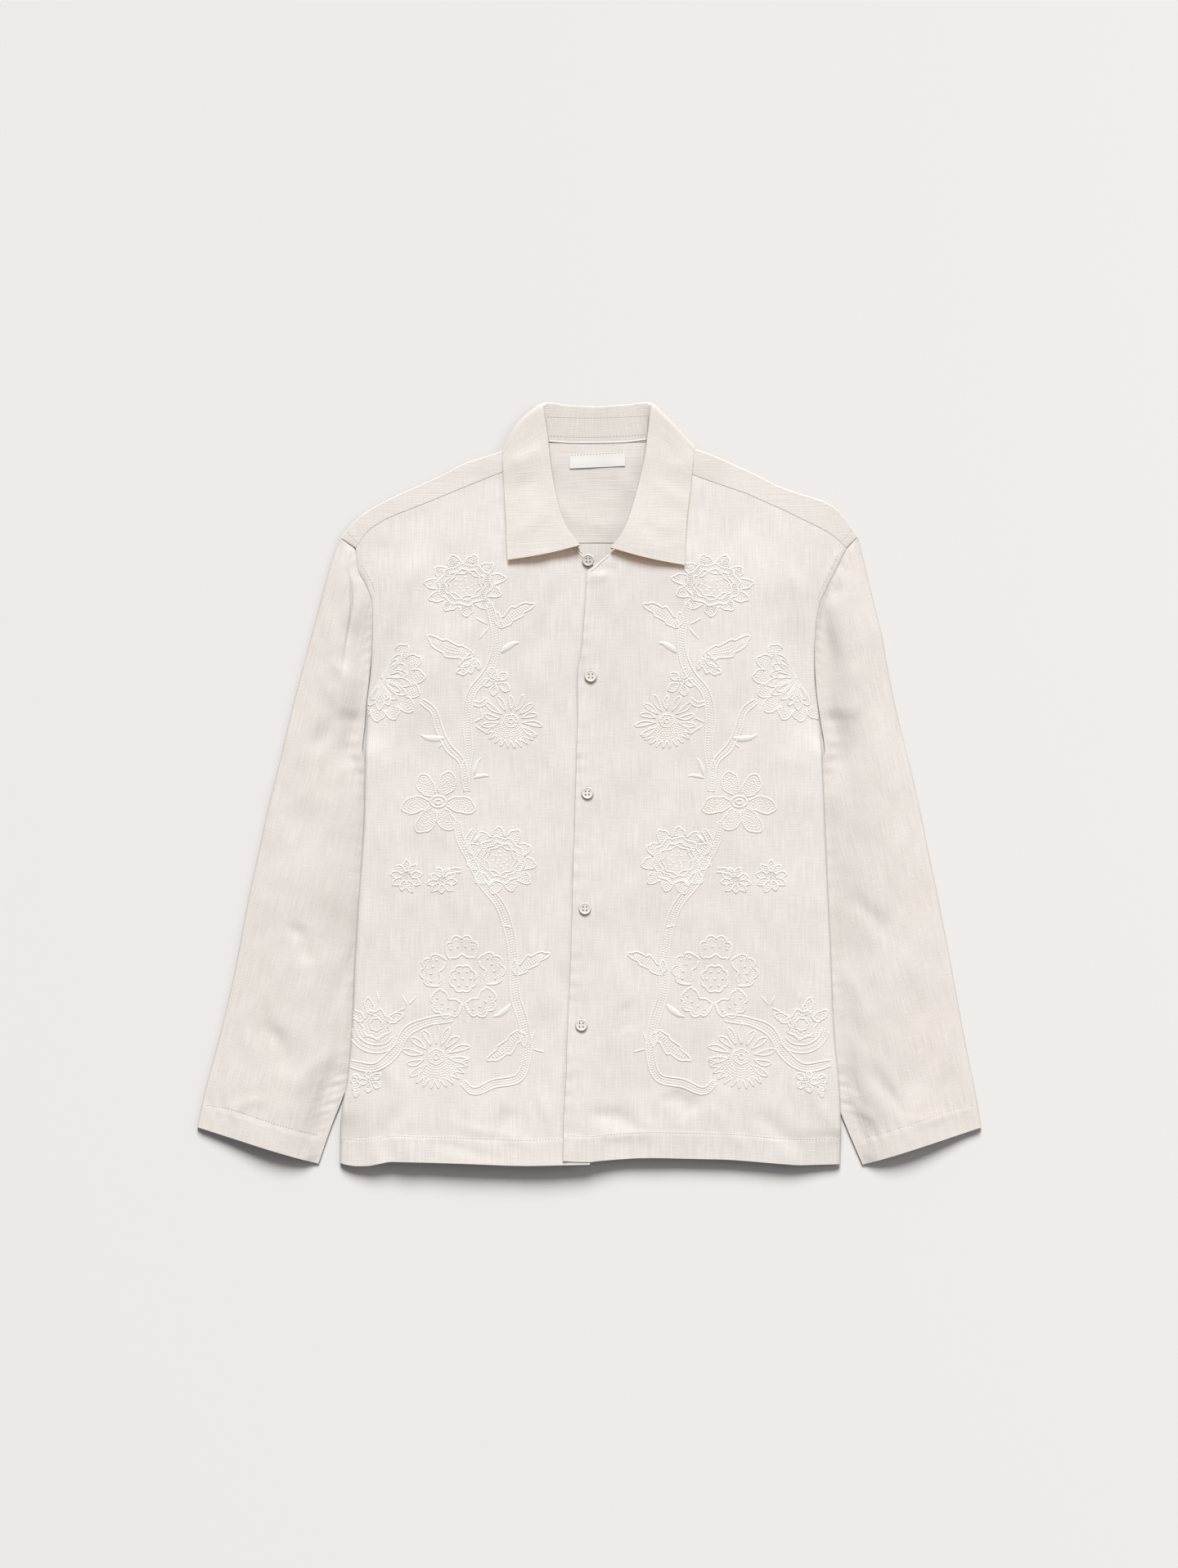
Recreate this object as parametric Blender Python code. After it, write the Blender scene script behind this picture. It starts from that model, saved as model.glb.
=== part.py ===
"""Camp shirt laid flat on its back, sleeves down beside it, collar open at the neck.

The tables are in millimetres and the meshes in metres. +Z is up, +Y runs toward the collar and
+X to the wearer's left, which is the picture's right. The underside lies at z = 0.
"""
import math

import bpy
import numpy as np

for scene_object in list(bpy.data.objects):
    bpy.data.objects.remove(scene_object, do_unlink=True)

WALL = 1.2
SEAM = 0.35
FOLD_R = 3.0
LINEN = (0.80, 0.75, 0.71, 1.0)
LABEL_WHITE = (0.90, 0.88, 0.85, 1.0)
BUTTON_BEIGE = (0.72, 0.66, 0.58, 1.0)

# Outline of the body, from the hem up the sides and armholes to the front yoke seam.
# y, left edge x, right edge x
BODY_SIDES = (
    (-371.6, -243.8, 246.2),
    (-326.0, -243.0, 246.6),
    (-275.6, -233.9, 243.7),
    (-240.4, -231.8, 239.8),
    (-169.2, -228.6, 236.7),
    (-32.4, -219.8, 230.6),
    (47.6, -218.2, 227.2),
    (77.2, -217.4, 224.0),
    (112.4, -213.4, 220.5),
    (154.0, -211.3, 221.8),
    (184.4, -211.8, 227.0),
    (198.0, -219.8, 236.7),
    (211.0, -226.0, 242.2),
    (231.0, -228.2, 252.2),
    (242.5, -244.8, 263.0),
)
# How the side folds lie: they ride up on the sleeves' tucked edge, and the front's edge is
# higher along the armhole than at the side seam.
# y, left rise, right rise, height of the front's edge above the rise, back edge's lift
SIDE_HEIGHTS = (
    (-372.0, 0.0, 0.0, 3.35, 2.65),
    (-352.0, 0.0, 1.5, 3.35, 2.65),
    (-335.0, 1.5, 4.4, 3.35, 2.65),
    (-315.0, 4.4, 4.4, 3.35, 2.65),
    (25.0, 4.4, 4.4, 3.35, 2.65),
    (50.0, 0.5, 0.5, 3.35, 2.65),
    (62.0, 0.0, 0.0, 3.35, 2.65),
    (77.0, 0.0, 0.0, 3.4, 0.3),
    (125.0, 0.0, 0.0, 3.9, 0.0),
    (198.0, 0.0, 0.0, 4.4, 0.0),
    (232.0, 0.0, 0.0, 3.6, 0.0),
)
# Height that the fronts puff up to, for the wearer's right (x < 0) and left front.
# y, right front, left front
CROWN = (
    (-372.0, 16.5, 12.0),
    (-340.0, 15.5, 12.5),
    (-250.0, 13.5, 13.0),
    (0.0, 13.0, 13.0),
    (200.0, 13.5, 13.5),
    (300.0, 13.0, 13.0),
)
CROWN_BLEND = 40.0
PUFF_ACROSS = 70.0
# The fronts rise from the shoulder fold over a short run under the collar and a long one beside it.
COLLAR_RAMP = 110.0
SHOULDER_RAMP = 170.0
COLLAR_ZONE = 92.0
COLLAR_ZONE_FADE = 40.0
# Shoulder fold, armhole to neck, and the yoke's front seam below it.
# x, y
RIGHT_FOLD = (
    (-242.8, 241.8), (-235.9, 250.8), (-224.0, 263.8), (-205.4, 274.5), (-184.1, 285.2),
    (-163.0, 294.4), (-147.0, 301.4), (-127.8, 312.4), (-107.5, 319.3), (-83.0, 326.8),
    (-57.4, 338.0),
)
RIGHT_SEAM = (
    (-228.2, 231.0), (-224.6, 236.7), (-217.4, 246.8), (-207.0, 254.8), (-189.4, 263.8),
    (-164.6, 273.2), (-127.8, 288.4), (-83.8, 306.0), (-52.2, 317.2),
)
LEFT_FOLD = (
    (263.2, 243.2), (254.6, 255.8), (245.0, 269.2), (228.1, 278.4), (192.2, 289.2),
    (156.8, 306.8), (121.0, 322.8), (101.8, 329.2), (71.4, 338.8),
)
LEFT_SEAM = (
    (252.2, 231.0), (241.4, 242.0), (230.6, 249.2), (221.5, 253.2), (192.2, 267.6),
    (156.8, 283.6), (121.0, 296.0), (101.4, 302.8), (66.6, 318.0),
)
# Back seam of the yoke, lower at the armholes than in the middle, and the back neck above it.
BACK_SEAM_MID_Y = 236.8
BACK_SEAM_DROP = 18.0
BACK_SEAM_HALF = 225.0
# x, y
BACK_NECK = ((-57.4, 335.2), (-35.8, 334.4), (9.0, 334.0), (49.8, 334.8), (71.4, 336.0))
# Neck edge of each front, from the yoke seam to the corner at the overlap.
# x, y
RIGHT_NECK = (
    (-52.2, 317.2), (-51.0, 311.6), (-47.0, 294.0), (-38.2, 271.6), (-27.0, 250.0),
    (-16.6, 236.4), (-9.8, 230.4), (1.8, 216.6), (10.6, 210.0),
)
LEFT_NECK = (
    (66.6, 318.0), (65.4, 312.4), (60.2, 294.0), (52.2, 271.6), (41.0, 250.0),
    (30.6, 234.0), (22.6, 227.6), (5.8, 214.8), (-1.4, 209.2),
)
# Edge of the buttonhole side and of the button side under it.
# y, x
OVERLAP_EDGE = (
    (-367.0, -25.1), (-331.6, -24.6), (-290.8, -22.2), (-231.6, -20.2), (-208.4, -18.6),
    (-27.2, -13.4), (35.2, -11.6), (71.6, -10.2), (106.0, -11.2), (132.4, -6.2), (209.2, -1.4),
)
UNDERLAP_EDGE = ((-371.0, 1.0), (-235.0, 5.8), (-8.0, 11.6), (106.0, 14.8), (210.0, 10.6))
# Hem lines, x, y
RIGHT_HEM = (
    (-243.8, -370.0), (-235.9, -373.2), (-217.6, -373.0), (-191.8, -368.4), (-125.7, -370.0),
    (-67.8, -372.4), (2.0, -371.2),
)
LEFT_HEM = (
    (-25.1, -367.4), (-4.0, -369.1), (12.2, -367.4), (53.8, -364.7), (138.4, -366.7),
    (204.6, -372.2), (246.2, -371.6),
)
BACK_HEM_Y = -366.0
HEM_Y = -370.0
# Where the sides are read for the yoke's back seam, and the height table for the shoulder fold.
YOKE_END_Y = 219.2
SHOULDER_Y = 300.0
# Sleeve sections, from the shoulder tip to the cuff. The first ones end in open edges at the
# armhole, whose line gives the inner x where it is 0, and the rest are closed round.
# outer x, outer y, inner x, inner y, puff, outer fold radius
RIGHT_SLEEVE = (
    (-244.0, 240.3, -240.3, 238.5, 0.0, 3.0),
    (-245.9, 235.0, -234.2, 234.5, 0.5, 3.0),
    (-249.6, 225.2, 0.0, 225.0, 1.4, 3.0),
    (-254.2, 211.0, 0.0, 211.0, 2.4, 3.0),
    (-259.0, 194.0, 0.0, 194.0, 3.4, 3.0),
    (-263.8, 175.6, 0.0, 176.0, 4.2, 3.0),
    (-267.8, 160.0, 0.0, 160.0, 4.6, 3.0),
    (-271.8, 145.2, 0.0, 145.0, 5.0, 3.0),
    (-277.2, 125.0, 0.0, 125.0, 5.3, 3.0),
    (-282.5, 105.2, 0.0, 105.0, 5.6, 3.0),
    (-289.4, 79.0, 0.0, 77.0, 5.8, 3.0),
    (-294.2, 59.6, -219.0, 61.0, 6.0, 3.0),
    (-300.6, 31.6, -221.4, 33.6, 6.3, 3.0),
    (-305.6, 11.0, -213.0, 10.0, 6.4, 3.0),
    (-311.8, -12.4, -206.2, -16.4, 6.6, 3.0),
    (-322.8, -63.0, -208.4, -76.0, 6.8, 3.0),
    (-333.7, -113.2, -211.0, -136.4, 7.0, 3.0),
    (-347.2, -184.4, -219.0, -220.4, 7.6, 3.0),
    (-358.2, -232.4, -229.4, -274.8, 8.2, 3.0),
    (-366.2, -263.6, -239.8, -304.4, 8.8, 3.0),
    (-375.3, -296.9, -251.8, -334.8, 9.6, 3.0),
    (-383.8, -335.2, -264.6, -371.6, 10.4, 3.0),
)
LEFT_SLEEVE = (
    (264.1, 240.6, 260.8, 239.0, 0.0, 3.0),
    (265.6, 235.0, 257.2, 235.0, 0.5, 3.0),
    (267.9, 225.2, 0.0, 225.0, 1.4, 3.0),
    (271.4, 211.0, 0.0, 211.0, 2.4, 3.0),
    (275.4, 194.0, 0.0, 194.0, 3.4, 3.0),
    (279.8, 175.6, 0.0, 176.0, 4.2, 3.0),
    (283.6, 160.0, 0.0, 160.0, 4.6, 3.0),
    (287.4, 145.2, 0.0, 145.0, 5.0, 3.0),
    (290.6, 125.0, 0.0, 125.0, 5.3, 3.0),
    (294.4, 105.2, 0.0, 105.0, 5.6, 3.0),
    (300.0, 78.0, 0.0, 77.0, 5.8, 3.0),
    (304.2, 59.6, 227.0, 61.0, 6.0, 3.0),
    (311.4, 31.6, 230.8, 33.6, 6.3, 3.0),
    (316.4, 11.0, 222.6, 10.0, 6.4, 3.0),
    (321.8, -12.4, 216.0, -16.4, 6.6, 3.0),
    (332.2, -63.0, 219.0, -72.0, 6.8, 3.0),
    (342.6, -113.2, 222.0, -130.0, 7.0, 3.0),
    (356.2, -184.4, 226.0, -210.0, 7.4, 3.0),
    (365.0, -232.4, 232.0, -270.0, 7.8, 3.0),
    (371.0, -263.6, 239.5, -303.0, 8.2, 3.0),
    (377.8, -296.9, 251.0, -333.0, 8.8, 3.0),
    (384.6, -335.6, 268.0, -372.6, 9.4, 3.0),
)
HEAD_SECTIONS = 11
ARMHOLE_GAP = 0.75
TIP_FROM_Y = 231.0
TIP_SLOPE = 0.27
TUCK = 17.0
INNER_R = 1.9
# Collar sections, from each front end round to the middle of the back. The fall lies above the
# stand in front, beside it at the neck's sides and under it at the back.
# neck x, y, roll x, y, edge x, y, stack angle, roll height, edge height, bow of the fall
# Down to the row for the shoulder, the roll height is what the roll has above a round one on the
# cloth below, and the edge height is the edge's lift above that cloth.
COLLAR_RIGHT = (
    ("lower edge", -10.4, 231.4, -9.0, 233.4, -79.2, 219.1, 0, 1.9, 4.6, -1.5),
    ("front", -16.8, 237.6, -13.6, 240.2, -80.2, 235.6, 0, 1.8, 4.0, 0.0),
    ("front", -26.4, 250.6, -21.5, 251.6, -80.6, 251.6, 0, 1.6, 3.4, 0.0),
    ("front", -37.6, 272.2, -29.4, 272.8, -81.7, 272.4, 0, 1.2, 2.8, 0.0),
    ("front", -46.3, 294.4, -34.6, 295.6, -83.0, 294.0, 0, 0.7, 2.2, 0.5),
    ("shoulder", -51.0, 315.6, -38.2, 320.8, -83.6, 309.0, 5, 0.3, 1.9, 1.0),
    ("shoulder", -54.5, 327.0, -40.4, 344.0, -83.8, 318.0, 12, 0.0, 1.5, 2.5),
    ("side, above", -56.4, 334.9, -42.6, 361.8, -83.6, 323.2, 40, 7.2, 9.3, 4.0),
    ("side", -56.3, 338.2, -44.4, 370.6, -84.0, 328.4, 90, 5.6, 4.9, 5.0),
    ("side, below", -56.0, 335.9, -41.0, 373.4, -80.0, 325.0, 140, 4.3, 0.8, 3.0),
    ("back", -47.8, 335.4, -34.0, 373.2, -64.0, 324.0, 170, 3.95, 0.65, 1.0),
    ("back", -35.8, 335.0, -25.4, 371.8, -43.8, 325.4, 180, 3.6, 0.6, 0.0),
    ("back", -15.8, 334.7, -11.8, 370.6, -18.2, 326.2, 180, 3.6, 0.6, 0.0),
    ("middle", 9.0, 334.5, 8.2, 369.8, 8.2, 326.4, 180, 3.6, 0.6, 0.0),
)
COLLAR_LEFT = (
    ("lower edge", 22.8, 229.2, 21.2, 231.2, 93.8, 214.0, 0, 1.9, 3.6, -1.5),
    ("front", 30.6, 235.0, 27.2, 238.2, 94.2, 233.2, 0, 1.8, 3.4, 0.0),
    ("front", 40.4, 250.6, 35.4, 251.8, 95.2, 252.4, 0, 1.6, 3.0, 0.0),
    ("front", 51.6, 272.2, 42.6, 272.8, 97.4, 274.0, 0, 1.2, 2.6, 0.0),
    ("front", 59.5, 294.4, 49.0, 295.4, 100.2, 295.6, 0, 0.7, 2.2, 0.5),
    ("shoulder", 65.0, 315.8, 54.6, 320.6, 101.4, 310.0, 5, 0.3, 1.9, 0.5),
    ("shoulder", 68.6, 327.4, 57.4, 344.4, 102.2, 319.6, 12, 0.0, 1.5, 0.5),
    ("side, above", 70.4, 335.7, 58.6, 362.4, 102.4, 325.6, 40, 7.2, 9.3, 0.5),
    ("side", 70.3, 339.0, 60.2, 371.0, 103.0, 331.0, 90, 5.6, 4.9, 0.5),
    ("side, below", 70.0, 336.7, 56.6, 373.6, 98.6, 327.6, 140, 4.3, 0.8, 0.5),
    ("back", 61.8, 336.3, 49.6, 373.4, 82.6, 326.2, 170, 3.95, 0.65, 0.3),
    ("back", 49.8, 335.4, 41.0, 372.2, 61.0, 326.2, 180, 3.6, 0.6, 0.0),
    ("back", 30.6, 334.8, 25.8, 371.2, 33.8, 326.2, 180, 3.6, 0.6, 0.0),
)
ROLL_R = 1.5
ROLL_MORE = 0.8
# Under the collar the yoke rests on the fall, and so lies higher.
COLLAR_LIFT = 1.6
COLLAR_MID_X = 9.0
LIFT_HALF = 97.0
LIFT_HALF_FADE = 45.0
LIFT_FROM_Y = 290.0
LIFT_RUN = 28.0
# Label: left, right, lower and upper edge, and the tilt across it.
LABEL_X = (-18.8, 35.4)
LABEL_Y = (310.6, 324.4)
LABEL_TILT = 2.6
LABEL_THICK = 1.0
LABEL_HANG = 0.5
LABEL_STEPS = 6
# Buttons: x, y, tilt about x and about y in degrees
BUTTONS = (
    (-0.4, 219.1, 11.0, -8.5),
    (1.8, 105.8, 0.0, 0.0),
    (-1.4, -8.4, 0.0, 0.0),
    (-3.8, -121.2, 0.0, 0.0),
    (-7.2, -234.8, 0.0, 0.0),
)
BUTTON_R = 6.0
BUTTON_THICK = 2.2
BUTTON_STEPS = 20
# Its rings from the base over the rim to the sunk face: radius, height.
BUTTON_RINGS = (
    (5.0, 0.0), (5.8, 0.5), (BUTTON_R, 1.1), (5.8, 1.8), (5.3, BUTTON_THICK), (4.7, 2.1), (4.0, 1.8),
)
HOLE_R = 0.75
HOLE_AT = 1.7
HOLE_SIDES = 8
# The buttonhole side rises over the button side's edge.
LAYER_AIR = 0.5
LAP_FROM = 3.0
LAP_RUN = 30.0


def soft_step(t):
    """0 below 0, 1 above 1, and an even S between."""
    t = min(max(t, 0.0), 1.0)
    return t * t * (3.0 - 2.0 * t)


def swell(t):
    """0 at 0, flat at 1 from 1 on."""
    return math.sin(0.5 * math.pi * min(max(t, 0.0), 1.0))


def table_at(rows, at, column):
    """A column of a table, read between its rows by its first column, which rises."""
    return float(np.interp(at, [r[0] for r in rows], [r[column] for r in rows]))


def along(points, share):
    """The point at a share of a line's length."""
    p = np.array(points, float)
    run = np.concatenate([[0.0], np.cumsum(np.linalg.norm(np.diff(p, axis=0), axis=1))])
    s = share * run[-1]
    return np.array([np.interp(s, run, p[:, 0]), np.interp(s, run, p[:, 1])])


def height_by_x(points, x):
    """y of a line at x."""
    p = sorted(points)
    return float(np.interp(x, [q[0] for q in p], [q[1] for q in p]))


FOLD_LINE = tuple(RIGHT_FOLD) + tuple(LEFT_FOLD)


def side_x(y, left):
    return table_at(BODY_SIDES, y, 1 if left else 2)


def rise(y, left):
    return table_at(SIDE_HEIGHTS, y, 1 if left else 2)


def collar_lift(x, y):
    across = 1.0 - soft_step((abs(x - COLLAR_MID_X) - LIFT_HALF) / LIFT_HALF_FADE)
    return COLLAR_LIFT * across * soft_step((y - LIFT_FROM_Y) / LIFT_RUN)


def top_z(x, y, edge=None):
    """Height of the upper layer's outer face. edge is the distance from the side if known."""
    from_left = x - side_x(y, True)
    from_right = side_x(y, False) - x
    left = from_left < from_right
    d = min(from_left, from_right) if edge is None else edge
    d = max(d, 0.0)
    low = rise(y, left) + table_at(SIDE_HEIGHTS, y, 3)
    if d < FOLD_R:
        shell = low + math.sqrt(FOLD_R ** 2 - (FOLD_R - d) ** 2)
    else:
        blend = soft_step((x + CROWN_BLEND) / (2.0 * CROWN_BLEND))
        crown = table_at(CROWN, y, 1) * (1.0 - blend) + table_at(CROWN, y, 2) * blend
        shell = low + FOLD_R
        beside_collar = soft_step((abs(x - COLLAR_MID_X) - COLLAR_ZONE) / COLLAR_ZONE_FADE)
        ramp = COLLAR_RAMP + (SHOULDER_RAMP - COLLAR_RAMP) * beside_collar
        down = min(max(height_by_x(FOLD_LINE, x) - FOLD_R - y, 0.0) / ramp, 1.0)
        shell += (crown - shell) * swell((d - FOLD_R) / PUFF_ACROSS) * down
    return shell + collar_lift(x, y)


def overlap_lift(x, y):
    """How far the buttonhole side is lifted by the button side under it."""
    under = table_at(UNDERLAP_EDGE, y, 1)
    return (WALL + LAYER_AIR) * (1.0 - soft_step((x - under - LAP_FROM) / LAP_RUN))


def make_object(name, verts, faces, colour):
    mesh = bpy.data.meshes.new(name)
    mesh.from_pydata([(v[0] / 1000.0, v[1] / 1000.0, v[2] / 1000.0) for v in verts], [], faces)
    mesh.validate()
    obj = bpy.data.objects.new(name, mesh)
    bpy.context.collection.objects.link(obj)
    material = bpy.data.materials.new(name)
    material.use_nodes = True
    shader = material.node_tree.nodes["Principled BSDF"]
    shader.inputs["Base Color"].default_value = colour
    shader.inputs["Roughness"].default_value = 0.9
    mesh.materials.append(material)
    return obj


def vertex_normals(points, quads):
    normals = np.zeros_like(points)
    for quad in quads:
        a, b, c, d = (points[i] for i in quad)
        n = np.cross(c - a, d - b)
        for i in quad:
            normals[i] += n / (np.linalg.norm(n) + 1e-9)
    return normals / (np.linalg.norm(normals, axis=1, keepdims=True) + 1e-9)


def cloth_wall(name, points, quads, colour=LINEN, thick=WALL, centred=False):
    """A closed wall on a sheet of quads. The sheet is its outer face, or its middle."""
    points = np.array(points, float)
    normals = vertex_normals(points, quads)
    outer = points + normals * (0.5 * thick if centred else 0.0)
    inner = outer - normals * thick
    count = len(points)
    faces = [tuple(q) for q in quads]
    faces += [tuple(i + count for i in reversed(q)) for q in quads]
    used = {}
    for quad in quads:
        for a, b in zip(quad, tuple(quad[1:]) + tuple(quad[:1])):
            used[(a, b)] = used.get((a, b), 0) + 1
    for a, b in used:
        if (b, a) not in used:
            faces.append((b, a, a + count, b + count))
    kept = sorted({i for f in faces for i in f})
    place = {old: new for new, old in enumerate(kept)}
    both = np.concatenate([outer, inner])[kept]
    return make_object(name, both, [tuple(place[i] for i in f) for f in faces], colour)


def grid_quads(rows, columns, keep=None, turned=False):
    """Quads of a grid numbered row by row. keep(row, column) leaves some out."""
    quads = []
    for r in range(rows - 1):
        for c in range(columns - 1):
            if keep and not keep(r, c):
                continue
            a = r * columns + c
            quad = (a, a + 1, a + columns + 1, a + columns)
            quads.append(tuple(reversed(quad)) if turned else quad)
    return quads


EDGE_STEPS = (0.0, 0.1, 0.88, 3.0)
LEAST_SHARE = 0.012
# A front's columns end between these heights, found by halving the span this many times.
TOP_SPAN = (150.0, 330.0)
HALVINGS = 30
FRONT_ROWS = (218.0, 225.0)
SIDE_ROWS = (
    -352.0, -335.0, -315.0, -290.0, -240.0, -170.0, -100.0, -32.0, 8.0, 25.0, 50.0, 61.0, 77.0,
    105.0, 125.0, 145.0, 160.0, 176.0, 194.0, 211.0,
)


def row_shares(bottom, top, more=()):
    """Shares of a panel's height at which its rows meet the side, both ends included."""
    inside = [y for y in tuple(SIDE_ROWS) + tuple(more) if bottom + 5.0 < y < top - 3.0]
    return [0.0] + [(y - bottom) / (top - bottom) for y in inside] + [1.0]


def build_front(name, left, seam, neck, hem, centre_rows):
    """A front panel from its side to its centre edge, up to the yoke seam and neck edge."""
    sign = 1.0 if left else -1.0
    seam_points = [along(seam, share) for share in YOKE_SHARES]
    top_line = [(p[0], p[1] - SEAM) for p in seam_points[:-1]] + [(p[0] + sign * 0.2, p[1] - SEAM) for p in neck]

    def centre_x(y):
        return table_at(centre_rows, y, 1)

    def side(y):
        return side_x(y, not left)

    columns = [("edge", step) for step in EDGE_STEPS]
    last_share = 0.0
    for x, y in top_line[1:-1]:
        share = (x - side(y) + sign * FOLD_R) / (centre_x(y) - side(y) + sign * FOLD_R)
        if share > last_share + LEAST_SHARE:
            columns.append(("share", share))
            last_share = share
    columns.append(("share", 1.0))

    def x_at(column, y):
        kind, value = column
        if kind == "edge":
            return side(y) - sign * value
        start = side(y) - sign * FOLD_R
        return start + (centre_x(y) - start) * value

    points = []
    shares = row_shares(height_by_x(hem, side(HEM_Y)), top_line[0][1], FRONT_ROWS)
    for v in shares:
        for column in columns:
            low, high = TOP_SPAN
            for _ in range(HALVINGS):
                mid = 0.5 * (low + high)
                if mid < height_by_x(top_line, x_at(column, mid)):
                    low = mid
                else:
                    high = mid
            if column == ("share", 1.0):
                low = top_line[-1][1]
            if column == ("edge", 0.0):
                low = top_line[0][1]
            bottom = height_by_x(hem, x_at(column, HEM_Y))
            y = bottom + (low - bottom) * v
            x = x_at(column, y)
            edge = column[1] if column[0] == "edge" else None
            z = top_z(x, y, edge)
            if left:
                z += overlap_lift(x, y)
            points.append((x, y, z))
    cloth_wall(name, points, grid_quads(len(shares), len(columns), turned=left))


def back_seam_y(x):
    return BACK_SEAM_MID_Y - BACK_SEAM_DROP * min(abs(x - COLLAR_MID_X) / BACK_SEAM_HALF, 1.0) ** 2


def back_z(x, y, left, edge):
    rise_here = rise(y, left)
    z = rise_here * (1.0 - soft_step((edge - TUCK) / TUCK_FADE))
    if edge < FOLD_R:
        lift = max(table_at(SIDE_HEIGHTS, y, 4), LEAST_LIFT)
        bend = (FOLD_R ** 2 + lift ** 2) / (2.0 * lift)
        z = rise_here + bend - math.sqrt(bend ** 2 - (FOLD_R - edge) ** 2)
    return z


TUCK_FADE = 22.0
LEAST_LIFT = 0.05
BACK_STEPS = (0.0, 0.1, 0.88, 3.0, 9.0, 17.0, 28.0, 40.0, 70.0, 110.0, 155.0, 202.0)


def build_back():
    points = []
    shares = row_shares(BACK_HEM_Y, back_seam_y(side_x(YOKE_END_Y, True)) - SEAM)
    for v in shares:
        row = []
        for left in (True, False):
            inward = 1.0 if left else -1.0
            for step in BACK_STEPS:
                y = BACK_HEM_Y
                for _ in range(3):
                    x = side_x(y, left) + inward * step
                    y = BACK_HEM_Y + (back_seam_y(x) - SEAM - BACK_HEM_Y) * v
                row.append((x, y, back_z(x, y, left, step)))
        half = len(BACK_STEPS)
        row = row[:half] + list(reversed(row[half:]))
        points += row
    cloth_wall("back", points, grid_quads(len(shares), 2 * len(BACK_STEPS), turned=True))


YOKE_SHARES = (0.0, 0.0006, 0.0042, 0.0142, 0.05, 0.10, 0.17, 0.25, 0.34, 0.44, 0.55, 0.67, 0.79, 0.90, 1.0)
YOKE_EDGES = (0.0, 0.1, 0.88, 3.0)
YOKE_BEND = 0.8
WELL_INSIDE = 50.0
YOKE_BACK_ROWS = (0.0, 0.25, 0.5, 0.7, 0.8, 0.9, 1.0)
YOKE_ARC = (30.0, 60.0, 90.0, 120.0, 150.0, 180.0)
YOKE_TOP_ROWS = (0.3, 0.65, 1.0)
NECK_X = (-46.0, -35.8, -15.8, 9.0, 30.6, 49.8, 60.0)


def yoke_column(fold, seam, share, number):
    """One shoulder column: along the floor, round the fold and down to the front seam."""
    f = along(fold, share)
    s = along(seam, share) + np.array([0.0, SEAM])
    left = f[0] < COLLAR_MID_X
    part_way = (f[0] - fold[0][0]) / (fold[-1][0] - fold[0][0])
    back_end = side_x(YOKE_END_Y, left) * (1.0 - part_way) + fold[-1][0] * part_way
    b = np.array([back_end, back_seam_y(back_end) + SEAM])
    outward = (f - b) / np.linalg.norm(f - b) + (f - s) / np.linalg.norm(f - s)
    outward /= np.linalg.norm(outward)
    edge = YOKE_EDGES[number] if number < len(YOKE_EDGES) else WELL_INSIDE
    under = collar_lift(*f)
    radius = 0.5 * (table_at(SIDE_HEIGHTS, SHOULDER_Y, 3) + FOLD_R)
    centre = f - outward * radius
    column = []
    for v in YOKE_BACK_ROWS:
        p = b + (s - b) * v / YOKE_BEND if v < YOKE_BEND else s + (centre - s) * (v - YOKE_BEND) / (1.0 - YOKE_BEND)
        column.append((p[0], p[1], collar_lift(*p)))
    for angle in YOKE_ARC:
        a = math.radians(angle)
        p = centre + outward * radius * math.sin(a)
        column.append((p[0], p[1], under + radius * (1.0 - math.cos(a))))
    for v in YOKE_TOP_ROWS:
        p = centre + (s - centre) * v
        z = top_z(p[0], p[1], edge if edge < FOLD_R else None)
        if edge < FOLD_R:
            z = 2.0 * radius * (1.0 - v) + top_z(s[0], s[1], edge) * v
        column.append((p[0], p[1], z))
    return column


def build_yoke():
    right_side = [yoke_column(RIGHT_FOLD, RIGHT_SEAM, s, i) for i, s in enumerate(YOKE_SHARES)]
    left_side = [yoke_column(LEFT_FOLD, LEFT_SEAM, s, i) for i, s in enumerate(YOKE_SHARES)]
    rows = len(right_side[0])
    columns = list(right_side)
    for x in NECK_X:
        low = back_seam_y(x) + SEAM
        high = height_by_x(BACK_NECK, x)
        column = []
        for v in YOKE_BACK_ROWS:
            y = low + (high - low) * v
            column.append((x, y, collar_lift(x, y)))
        column += [column[-1]] * (rows - len(column))
        columns.append(column)
    columns += list(reversed(left_side))
    points = [columns[c][r] for r in range(rows) for c in range(len(columns))]
    first, last = len(right_side) - 1, len(right_side) + len(NECK_X)

    def keep(r, c):
        return r < len(YOKE_BACK_ROWS) - 1 or not first <= c < last

    cloth_wall("yoke", points, grid_quads(rows, len(columns), keep, turned=True))


SLEEVE_TOP = (0.0, 0.015, 0.04, 0.09, 0.14, 0.22, 0.34, 0.48, 0.62, 0.76, 0.88, 1.0)
SLEEVE_UNDER = (0.85, 0.55, 0.25, 0.08, 0.02, 0.0)
OUTER_ARC = (36.0, 72.0, 108.0, 144.0, 180.0)
INNER_ARC = (45.0, 90.0, 135.0)


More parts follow.
